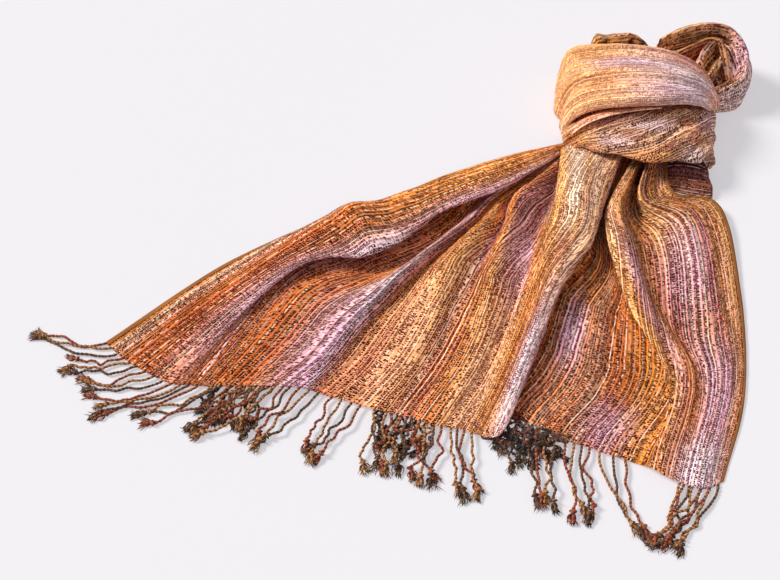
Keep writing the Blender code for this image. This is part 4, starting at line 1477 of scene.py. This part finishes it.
class ClothPattern(Pattern):
    """Space-dyed yarn: fine stripes along the threads, ragged dye, and rows of dark specks."""

    def __init__(self, name, weave):
        super().__init__(name)
        self.weave = weave
        self.across = self.times(self.place[0], PER_METRE)
        self.along = self.times(self.place[1], PER_METRE)
        drift = self.cloud(self.across, self.along, DRIFT_SCALE)
        self.thread = self.grown(drift, DRIFT, self.across)
        self.fine = self.parts(self.strips(self.thread, FINE_THREADS).outputs["Color"])
        self.dash = self.parts(self.cells(self.thread, self.along, DASH_SCALE).outputs["Color"])
        self.dye_parts = self.parts(self.dye)
        self.patch = self.cloud(self.across, self.along, PATCH_SCALE, FINE_DETAIL)
        self.mottle = self.cloud(self.across, self.along, MOTTLE_SCALE, FINE_DETAIL)

    def stripes(self):
        """Colours of the yarn, thread by thread, that change slowly along each thread."""
        broad = self.parts(self.strips(self.thread, BROAD_STRIPES).outputs["Color"])
        change = self.cloud(self.fine[1], self.along, CHANGE_SCALE)
        pick = self.grown(self.fine[0], PICK_FINE, PICK_START)
        pick = self.grown(broad[0], PICK_BROAD, pick)
        pick = self.grown(self.dash[0], PICK_DASH, pick)
        pick = self.grown(self.centred(change), PICK_CHANGE, pick)
        return self.ramp(pick, STRIPES).outputs[0]

    def dyed(self, striped):
        """The ragged dye and painted shade over the stripes, which keep their own colour where they
        are dark.
        """
        shade = self.grown(self.fine[2], SHADE_FINE, SHADE_START)
        shade = self.grown(self.dash[1], SHADE_DASH, shade)
        deep = self.shaded(self.dye, shade)
        hold = self.grown(self.fine[1], HOLD_CHANGE, self.weave.hold)
        hold = self.work("MAXIMUM", hold, self.smooth(self.dye_parts[1], *DARK_GROUND))
        return self.blend(hold, striped, deep)

    def pale_threads(self, colour):
        """Single pale threads, torn into dashes."""
        edge = self.strips(self.thread, PALE_THREADS, feature="DISTANCE_TO_EDGE")
        torn = self.times(self.smooth(self.dash[1], *PALE_TORN), PALE_STRENGTH)
        thin = self.work("LESS_THAN", edge.outputs["Distance"], PALE_WIDTH)
        return self.blend(self.times(thin, torn), colour, CREAM)

    def accent_lines(self, colour, stops):
        """Bright and dark lines at their own places, torn into dashes."""
        lines = self.ramp(self.line, stops, "CONSTANT")
        torn = self.smooth(self.dash[2], *ACCENT_TORN)
        return self.blend(self.times(lines.outputs[1], torn), colour, lines.outputs[0])

    def specks(self, colour):
        """Rows of dark specks, loose dark grains, and a few rows that are dark all along."""
        row = self.strips(self.thread, 1 / self.weave.row)
        row.inputs["Randomness"].default_value = ROW_JITTER
        row_chance = self.parts(row.outputs["Color"])
        beside = row.outputs["Distance"]
        pace = self.grown(row_chance[0], PACE_CHANGE, PACE_START)
        shift = self.cloud(row_chance[1], self.along, SHIFT_SCALE)
        step = self.times(self.work("DIVIDE", self.along, self.weave.step), pace)
        step = self.grown(shift, SHIFT, step)
        which = self.times(row_chance[0], ROW_NUMBERS)
        count = self.work("FLOOR", step)
        luck = self.chance(which, count)
        second_luck = self.chance(self.work("ADD", which, SECOND_LUCK), count)
        half = self.grown(second_luck, SPECK_LONG_CHANGE, SPECK_LONG)
        ahead = self.work("ABSOLUTE", self.centred(self.work("FRACT", step)))
        narrow = self.grown(luck, SPECK_WIDE_CHANGE, SPECK_WIDE)
        dot = self.times(
            self.smooth(beside, self.work("ADD", narrow, SPECK_SIDE), narrow),
            self.smooth(ahead, self.work("ADD", half, SPECK_END), half),
        )
        often = self.grown(self.centred(self.patch), OFTEN_BY_PATCH, luck)
        often = self.grown(row_chance[1], OFTEN_BY_ROW, often)
        dark = self.times(dot, self.smooth(often, *OFTEN))

        grain = self.cells(self.thread, self.along, GRAIN_SCALE)
        grain_chance = self.parts(grain.outputs["Color"])
        rare = self.grown(self.centred(self.patch), GRAIN_BY_PATCH, grain_chance[0])
        grains = self.times(
            self.smooth(rare, self.weave.rare, self.weave.rare + GRAIN_FADE),
            self.smooth(grain.outputs["Distance"], *GRAIN_EDGE),
        )
        dark = self.work("MAXIMUM", dark, grains)
        solid = self.times(self.work("GREATER_THAN", row_chance[2], DARK_ROWS), DARK_ROW_STRENGTH)
        solid = self.times(solid, self.smooth(beside, *DARK_ROW_EDGE))
        dark = self.work("MAXIMUM", dark, solid)

        speck = self.blend(self.times(grain_chance[1], SPECK_BROWN), MAROON, SPECK)
        tint = self.blend(self.dye_parts[2], RUST, PLUM)
        warm = self.times(self.smooth(self.dye_parts[1], *PALE_GROUND), self.weave.warm)
        speck = self.blend(warm, speck, tint)
        return self.blend(self.times(dark, self.weave.strength), colour, speck)

    def selvedge(self, colour, width):
        """The plain edge on both sides, with a dark running thread beside it."""
        far = self.work("SUBTRACT", width * PER_METRE, self.across)
        edge = self.work("MINIMUM", self.across, far)
        streak = self.cloud(self.across, self.along, STREAK_SCALE)
        plain = self.blend(self.times(streak, STREAK), BROWN, TAN)
        colour = self.blend(self.smooth(edge, *SELVEDGE_EDGE), colour, plain)
        away = self.work("ABSOLUTE", self.work("SUBTRACT", edge, RUNNING_THREAD))
        thread = self.work("LESS_THAN", away, RUNNING_HALF)
        stitch = self.work("FRACT", self.work("DIVIDE", self.along, RUNNING_STITCH))
        broken = self.work("GREATER_THAN", stitch, RUNNING_GAP)
        return self.blend(self.times(thread, self.times(broken, RUNNING_STRENGTH)), colour, MAROON)

    def woven(self, colour):
        """The finished cloth: a little light and dark in the yarn, and the weave as a bump."""
        colour = self.shaded(colour, self.grown(self.mottle, MOTTLE, MOTTLE_START))
        warp = self.work("SINE", self.times(self.across, math.tau / WEAVE_PITCH))
        weft = self.work("SINE", self.times(self.along, math.tau / WEAVE_PITCH))
        return self.complete(colour, self.grown(warp, weft, self.mottle), WEAVE_BUMP, {
            "Roughness": bpy.context.scene.scarf_cloth.roughness,
            "Sheen Weight": 0.02,
            "Sheen Roughness": 0.5,
            "Specular IOR Level": 0.06,
        })


def cloth_material(name, selvedge_width, accents, weave):
    """Space-dyed cloth, with a selvedge and accent lines where they are asked for."""
    pattern = ClothPattern(name, weave)
    colour = pattern.pale_threads(pattern.dyed(pattern.stripes()))
    if accents:
        colour = pattern.accent_lines(colour, accent_stops(accents))
    colour = pattern.specks(colour)
    if selvedge_width:
        colour = pattern.selvedge(colour, selvedge_width)
    return pattern.woven(colour)


def accent_stops(accents):
    """Colours of the accents along a scale across the fan, and nothing between them."""
    stops = [(0.0, (*CREAM, 0.0))]
    for accent in accents:
        place = accent.line / (len(FAN_FOLDS) - 1)
        stops.append((place, (*accent.colour, accent.strength)))
        stops.append((place + accent.width, (*accent.colour, 0.0)))
    return stops


def thread_material(name):
    """Twisted yarn: two plies of different colour, wound round each other."""
    pattern = Pattern(name)
    turn = pattern.grown(pattern.place[1], PER_METRE / PLY_PITCH, pattern.place[0])
    ply = pattern.work("SINE", pattern.times(turn, math.tau))
    dark = pattern.blend(DARK_PLY, pattern.dye, MAROON)
    colour = pattern.blend(pattern.smooth(ply, *PLY_EDGE), dark, pattern.dye)
    fibres = pattern.cloud(turn, pattern.place[1], FIBRE_SCALE, FINE_DETAIL)
    colour = pattern.blend(pattern.smooth(fibres, *GOLD_FIBRES), colour, GOLD)
    return pattern.complete(colour, fibres, FIBRE_BUMP, {"Roughness": 0.8, "Sheen Weight": 0.2})


# Fringe
class Hem:
    """The edge of a sheet, with places on it given as a share of its length."""

    def __init__(self, sheet):
        self.edge = [Vector(point) for point in sheet.points[-1]]
        self.inside = [Vector(point) for point in sheet.points[-INSIDE_ROW]]
        self.marks = lengths(self.edge)

    def place(self, share):
        """Point on the edge and the level direction that leaves the cloth there."""
        reach = min(max(share, 0.0), 1.0) * self.marks[-1]
        span = 0
        while span < len(self.marks) - 2 and reach > self.marks[span + 1]:
            span += 1
        part = (reach - self.marks[span]) / (self.marks[span + 1] - self.marks[span])
        point = self.edge[span].lerp(self.edge[span + 1], part)
        away = point - self.inside[span].lerp(self.inside[span + 1], part)
        away.z = 0.0
        return point, away.normalized()


def lengths(path):
    """Length of a path up to each of its points."""
    marks = [0.0]
    for start, end in zip(path, path[1:]):
        marks.append(marks[-1] + (end - start).length)
    return marks


def strand_roots(hem, tassels):
    """Where each strand leaves the hem, with the tip that it reaches and the height it lies at."""
    roots = []
    for tassel in tassels:
        first_point = hem.place(tassel.first)[0]
        last_point = hem.place(tassel.last)[0]
        tip_middle = Vector((tassel.tip_x, tassel.tip_y, 0.0))
        heading = tip_middle - (first_point + last_point) / 2
        side = Vector((-heading.y, heading.x, 0.0)).normalized()
        if side.dot(last_point - first_point) < 0:
            side.negate()
        for number in range(tassel.strands):
            part = number / (tassel.strands - 1)
            share = tassel.first + (tassel.last - tassel.first) * part
            aside = (number - (tassel.strands - 1) / 2) * tassel.pitch
            short = TIP_RAGGED * math.sin(TIP_CHANGE * number + TASSEL_CHANGE * tassel.first)
            roots.append((share, tip_middle + side * aside, short, tassel.rest))
    return roots


def strand_path(hem, share, tip, short, rest, seed):
    """Places along a strand, from just inside the hem to its tip on the table."""
    root, away = hem.place(share)
    heading = tip - root
    heading.z = 0.0
    reach = heading.length - short
    heading.normalize()
    side = Vector((-heading.y, heading.x, 0.0))
    wave = WAVE * (1 + SLACK * max(1 - reach / STRAND_REACH, 0.0))
    places = []
    for part in spaced(STRAND_STEPS + 1):
        lead = away * (reach * LEAD * part * (1 - part) ** 2 - HEM_OVERLAP * (1 - part))
        slow = uneven(part * SLOW_WAVES, seed, 0.0)
        quick = uneven(part * QUICK_WAVES, seed, QUICK_NOISE)
        curl = CURL * uneven(seed, *CURL_NOISE) * max(part - CURL_START, 0.0) ** 2
        swing = wave * (slow + QUICK_SHARE * quick) * math.sin(math.pi * part) ** 0.5 + curl
        place = root + heading * reach * part + lead + side * swing
        drop = min(part / LANDING, 1.0)
        drop = drop * drop * (3 - 2 * drop)
        hop = LIFT * (0.5 + uneven(part * HOPS, seed, HOP_NOISE)) * math.sin(math.pi * part)
        place.z = max(root.z + (rest - root.z) * drop + hop, STRAND_RADIUS + STRAND_CLEARANCE)
        places.append(place)
    return places


def strand_ways(path):
    """Directions ahead, beside and above a strand at each of its places."""
    ways = []
    for number in range(len(path)):
        ahead = (path[min(number + 1, len(path) - 1)] - path[max(number - 1, 0)]).normalized()
        side = ahead.cross(Vector((0.0, 0.0, 1.0))).normalized()
        ways.append((ahead, side, side.cross(ahead)))
    return ways


def lay_yarn(shape, path, ways, colour):
    """Two plies wound round each other, with a knot near the tip."""
    marks = lengths(path)
    last = len(path) - 1

    def point(row, column):
        part = marks[row] / marks[-1]
        turn = math.tau * column / STRAND_SIDES
        twist = math.tau * PLY_TURNS * part
        swell = 1.0 + KNOT_SWELL * math.exp(-((part - KNOT_PLACE) / KNOT_HALF) ** 2)
        close = 0.0 if row in (0, last) else 1.0
        ply = 1 - PLY_DEPTH + PLY_DEPTH * math.cos(2 * (turn - twist))
        _, side, up = ways[row]
        around = (side * math.cos(turn) + up * math.sin(turn)) * (STRAND_RADIUS * swell * ply * close)
        place = path[row] + around
        place.z = max(place.z, TABLE_SKIN)
        return place

    lay_grid(
        shape, STRAND_SIDES, last, point,
        lambda row, column: (column / STRAND_SIDES, marks[row] * MM),
        lambda row, column: (*colour, 1.0),
    )


def lay_hair(shape, base, way, colour, hair, seed):
    """One loose end of a tuft, which bends away from the others and sinks to the table."""
    ahead, side, up = way

    def chance(change, kind):
        return uneven(hair * change, seed, kind)

    angle = TUFT_SPREAD * chance(*ANGLE_NOISE)
    rise = HAIR_RISE + HAIR_RISE_CHANGE * abs(chance(*RISE_NOISE))
    reach = TUFT_LENGTH * (HAIR_SHORT + HAIR_LONG * abs(chance(*REACH_NOISE)))
    bend = TUFT_BEND * chance(*BEND_NOISE)
    heading = ahead * math.cos(angle) + side * math.sin(angle)

    def point(row, column):
        part = row / HAIR_STEPS
        turn = math.tau * column / HAIR_SIDES
        close = 0.0 if row in (0, HAIR_STEPS) else 1.0
        thin = HAIR_RADIUS * (1 - HAIR_TAPER * part) * close
        place = base + heading * reach * part + side * bend * math.sin(HAIR_CURVE * part)
        place = place + (side * math.cos(turn) + up * math.sin(turn)) * thin
        place.z = max(base.z + (rise - base.z) * part + thin * math.sin(turn), TABLE_SKIN)
        return place

    lay_grid(
        shape, HAIR_SIDES, HAIR_STEPS, point,
        lambda row, column: (column / HAIR_SIDES, row * HAIR_THREAD),
        lambda row, column: (*colour, 1.0),
    )


def lay_fringe(name, hem, tassels, colours, material, node, seed):
    """All the strands of one stretch of hem: each is twisted yarn with a knot and a tuft."""
    shape = new_shape()
    for number, (share, tip, short, rest) in enumerate(strand_roots(hem, tassels)):
        own_seed = seed + number * SEED_STEP
        path = strand_path(hem, share, tip, short, rest, own_seed)
        ways = strand_ways(path)
        colour = colours[(number * COLOUR_STEP + number // COLOUR_GROUP + seed) % len(colours)]
        lay_yarn(shape, path, ways, colour)
        shade = tuple(part * TUFT_SHADE for part in colour)
        knot = round(KNOT_PLACE * (len(path) - 1))
        for hair in range(TUFT_HAIRS):
            lay_hair(shape, path[knot], ways[knot], shade, hair, own_seed)
    bmesh.ops.remove_doubles(shape, verts=shape.verts, dist=STRAND_WELD)
    bmesh.ops.recalc_face_normals(shape, faces=shape.faces)
    return finish(name, shape, material, node)


# Settings
class ScarfClothSettings(PropertyGroup):
    """What a user may change on the cloth."""
    thickness: FloatProperty(
        name="Thickness", description="Thickness of the woven cloth",
        default=0.0009, min=0.0004, max=0.002, unit="LENGTH",
    )
    crease_depth: FloatProperty(
        name="Crease depth", description="How far the small creases stand out, where 1 is as worn",
        default=1.0, min=0.0, max=2.0, subtype="FACTOR",
    )
    roughness: FloatProperty(
        name="Roughness", description="How matt the yarn is",
        default=0.85, min=0.3, max=1.0, subtype="FACTOR",
    )


class ScarfStageSettings(PropertyGroup):
    """What a user may change on the table, the light and the camera."""
    table_colour: FloatVectorProperty(
        name="Table", description="Colour of the table", default=(0.462, 0.453, 0.474),
        min=0.0, max=1.0, subtype="COLOR",
    )
    key_power: FloatProperty(
        name="Key light", description="Strength of the soft light on the left",
        default=3.05, min=0.0,
    )
    fill: FloatProperty(
        name="Fill", description="Strength of the light from all round", default=0.42, min=0.0,
    )
    lens: FloatProperty(
        name="Lens", description="Focal length of the camera in millimetres", default=55.0, min=10.0,
    )


# Operators
class SCARF_OT_front_end(Operator):
    """Make the front end, which fans out from the knot in folds"""
    bl_idname = "scarf.front_end"
    bl_label = "Front end"

    def execute(self, context):
        sheet = fan_sheet()
        material = cloth_material("Front cloth", HEM_WIDTH, FAN_ACCENTS, BOLD_WEAVE)
        piece = lay_cloth("scarf_front_end", sheet, HEM_WIDTH, 0.0, sheet.dyed(FAN_GROUND, FAN_DYES_AND_SHADE),
                          material, "front_end")
        return {"FINISHED"}


class SCARF_OT_under_end(Operator):
    """Make the other end, which lies flat under the fan"""
    bl_idname = "scarf.under_end"
    bl_label = "Under end"

    def execute(self, context):
        sheet = under_sheet()
        material = cloth_material("Under cloth", 0.0, (), BOLD_WEAVE)
        piece = lay_cloth("scarf_under_end", sheet, UNDER_WIDTH, 0.0, sheet.dyed(RUST, UNDER_PAINTED_SHADE),
                          material, "under_end")
        return {"FINISHED"}


class SCARF_OT_wraps(Operator):
    """Make the bands that are wound over the knot, and the small loop behind them"""
    bl_idname = "scarf.wraps"
    bl_label = "Wraps"

    def execute(self, context):
        plain = cloth_material("Wrap cloth", 0.0, (), FINE_WEAVE)
        bold = cloth_material("Bold wrap cloth", 0.0, (), LOOSE_WEAVE)
        for plan in BAND_PLANS:
            band = plan.form
            sheet = gathered_sheet(band_rows(band), plan)
            material = plain if band in (UPPER_WRAP, INNER_WRAP) else bold
            piece = lay_cloth("scarf_" + band.name, sheet, plan.width, plan.shear,
                              sheet.dyed(plan.ground, plan.dyes), material, band.name)
        return {"FINISHED"}


class SCARF_OT_loops(Operator):
    """Make the two loops that stand behind the knot"""
    bl_idname = "scarf.loops"
    bl_label = "Loops"

    def execute(self, context):
        material = cloth_material("Loop cloth", 0.0, (), LOOSE_WEAVE)
        for plan in LOOP_PLANS:
            loop = plan.form
            sheet = gathered_sheet(loop_rows(loop), plan)
            piece = lay_cloth("scarf_" + loop.name, sheet, plan.width, plan.shear,
                              sheet.dyed(plan.ground, plan.dyes), material, loop.name)
        return {"FINISHED"}


class SCARF_OT_core(Operator):
    """Make the hidden layers inside the knot"""
    bl_idname = "scarf.core"
    bl_label = "Knot core"

    def execute(self, context):
        shape = new_shape()
        verts = lay_grid(shape, CORE_SIDES, CORE_RINGS, core_point, core_thread, core_dye_and_shade)
        bmesh.ops.remove_doubles(shape, verts=verts, dist=CORE_WELD)
        rim = [edge for edge in shape.edges if edge.is_boundary]
        bmesh.ops.contextual_create(shape, geom=rim)
        bmesh.ops.recalc_face_normals(shape, faces=shape.faces)
        material = cloth_material("Core cloth", 0.0, (), BOLD_WEAVE)
        finish("scarf_knot_core", shape, material, "knot_core")
        return {"FINISHED"}


class SCARF_OT_fringe(Operator):
    """Make the twisted fringe of both ends"""
    bl_idname = "scarf.fringe"
    bl_label = "Fringe"

    def execute(self, context):
        material = thread_material("Fringe thread")
        front, under = Hem(fan_sheet()), Hem(under_sheet())
        lay_fringe("fringe_front_left", front, LEFT_FRINGE + LEFT_TANGLES, STRAND_COLOURS,
                   material, "fringe_left", 1)
        lay_fringe("fringe_front_right", front, RIGHT_FRINGE + RIGHT_TANGLES, STRAND_COLOURS,
                   material, "fringe_right", 2)
        lay_fringe("fringe_under_end", under, UNDER_FRINGE + BUNDLE, DARK_COLOURS,
                   material, "fringe_under", 3)
        return {"FINISHED"}


class SCARF_OT_stage(Operator):
    """Make the table, the light and the camera"""
    bl_idname = "scarf.stage"
    bl_label = "Stage"

    def execute(self, context):
        settings = context.scene.scarf_stage
        shape = bmesh.new()
        bmesh.ops.create_grid(shape, x_segments=TABLE_CUTS, y_segments=TABLE_CUTS, size=TABLE_HALF)
        mesh = bpy.data.meshes.new("table_top")
        shape.to_mesh(mesh)
        shape.free()
        table = bpy.data.objects.new("table_top", mesh)
        context.scene.collection.objects.link(table)
        material = bpy.data.materials.new("White table")
        material.use_nodes = True
        shader = material.node_tree.nodes["Principled BSDF"]
        shader.inputs["Base Color"].default_value = (*settings.table_colour, 1.0)
        shader.inputs["Emission Color"].default_value = (*settings.table_colour, 1.0)
        shader.inputs["Emission Strength"].default_value = TABLE_GLOW
        shader.inputs["Roughness"].default_value = TABLE_ROUGHNESS
        shader.inputs["Specular IOR Level"].default_value = TABLE_GLOSS
        mesh.materials.append(material)

        world = bpy.data.worlds.new("Soft daylight")
        world.use_nodes = True
        background = world.node_tree.nodes["Background"]
        background.inputs[0].default_value = (*SKY, 1.0)
        background.inputs[1].default_value = settings.fill
        context.scene.world = world

        light = bpy.data.lights.new("Window", "SUN")
        light.energy = settings.key_power
        light.angle = WINDOW_ANGLE
        light.color = WINDOW_COLOUR
        window = bpy.data.objects.new("Window", light)
        window.location = WINDOW
        window.rotation_euler = (-WINDOW).to_track_quat("-Z", "Y").to_euler()
        context.scene.collection.objects.link(window)

        lens = bpy.data.cameras.new("Camera")
        lens.lens = settings.lens
        lens.sensor_width = SENSOR_WIDTH
        camera = bpy.data.objects.new("Camera", lens)
        camera.location = EYE - MIDDLE * MM
        camera.rotation_euler = (math.radians(CAMERA_TILT), 0.0, 0.0)
        context.scene.collection.objects.link(camera)
        context.scene.camera = camera
        context.scene.view_settings.view_transform = "Standard"
        return {"FINISHED"}


OPERATORS = (
    SCARF_OT_fringe, SCARF_OT_front_end, SCARF_OT_under_end, SCARF_OT_wraps, SCARF_OT_loops,
    SCARF_OT_core, SCARF_OT_stage,
)


class SCARF_PT_sidebar(Panel):
    """Buttons that make the scarf"""
    bl_idname = "SCARF_PT_sidebar"
    bl_label = "Fringed wrap scarf"
    bl_space_type = "VIEW_3D"
    bl_region_type = "UI"
    bl_category = "Scarf"

    def draw(self, context):
        layout = self.layout
        for settings in (context.scene.scarf_cloth, context.scene.scarf_stage):
            box = layout.box()
            for name in settings.bl_rna.properties.keys():
                if name not in ("rna_type", "name"):
                    box.prop(settings, name)
        for operator in OPERATORS:
            layout.operator(operator.bl_idname)


CLASSES = (ScarfClothSettings, ScarfStageSettings, *OPERATORS, SCARF_PT_sidebar)


def register():
    """Add the classes and the scene's settings."""
    for one in CLASSES:
        bpy.utils.register_class(one)
    bpy.types.Scene.scarf_cloth = PointerProperty(type=ScarfClothSettings)
    bpy.types.Scene.scarf_stage = PointerProperty(type=ScarfStageSettings)


def unregister():
    """Take them away again."""
    del bpy.types.Scene.scarf_stage
    del bpy.types.Scene.scarf_cloth
    for one in reversed(CLASSES):
        bpy.utils.unregister_class(one)


def main():
    """Make the scarf."""
    register()
    bpy.ops.scarf.fringe()
    bpy.ops.scarf.front_end()
    bpy.ops.scarf.under_end()
    bpy.ops.scarf.wraps()
    bpy.ops.scarf.loops()
    bpy.ops.scarf.core()
    bpy.ops.scarf.stage()


if __name__ == "__main__":
    main()
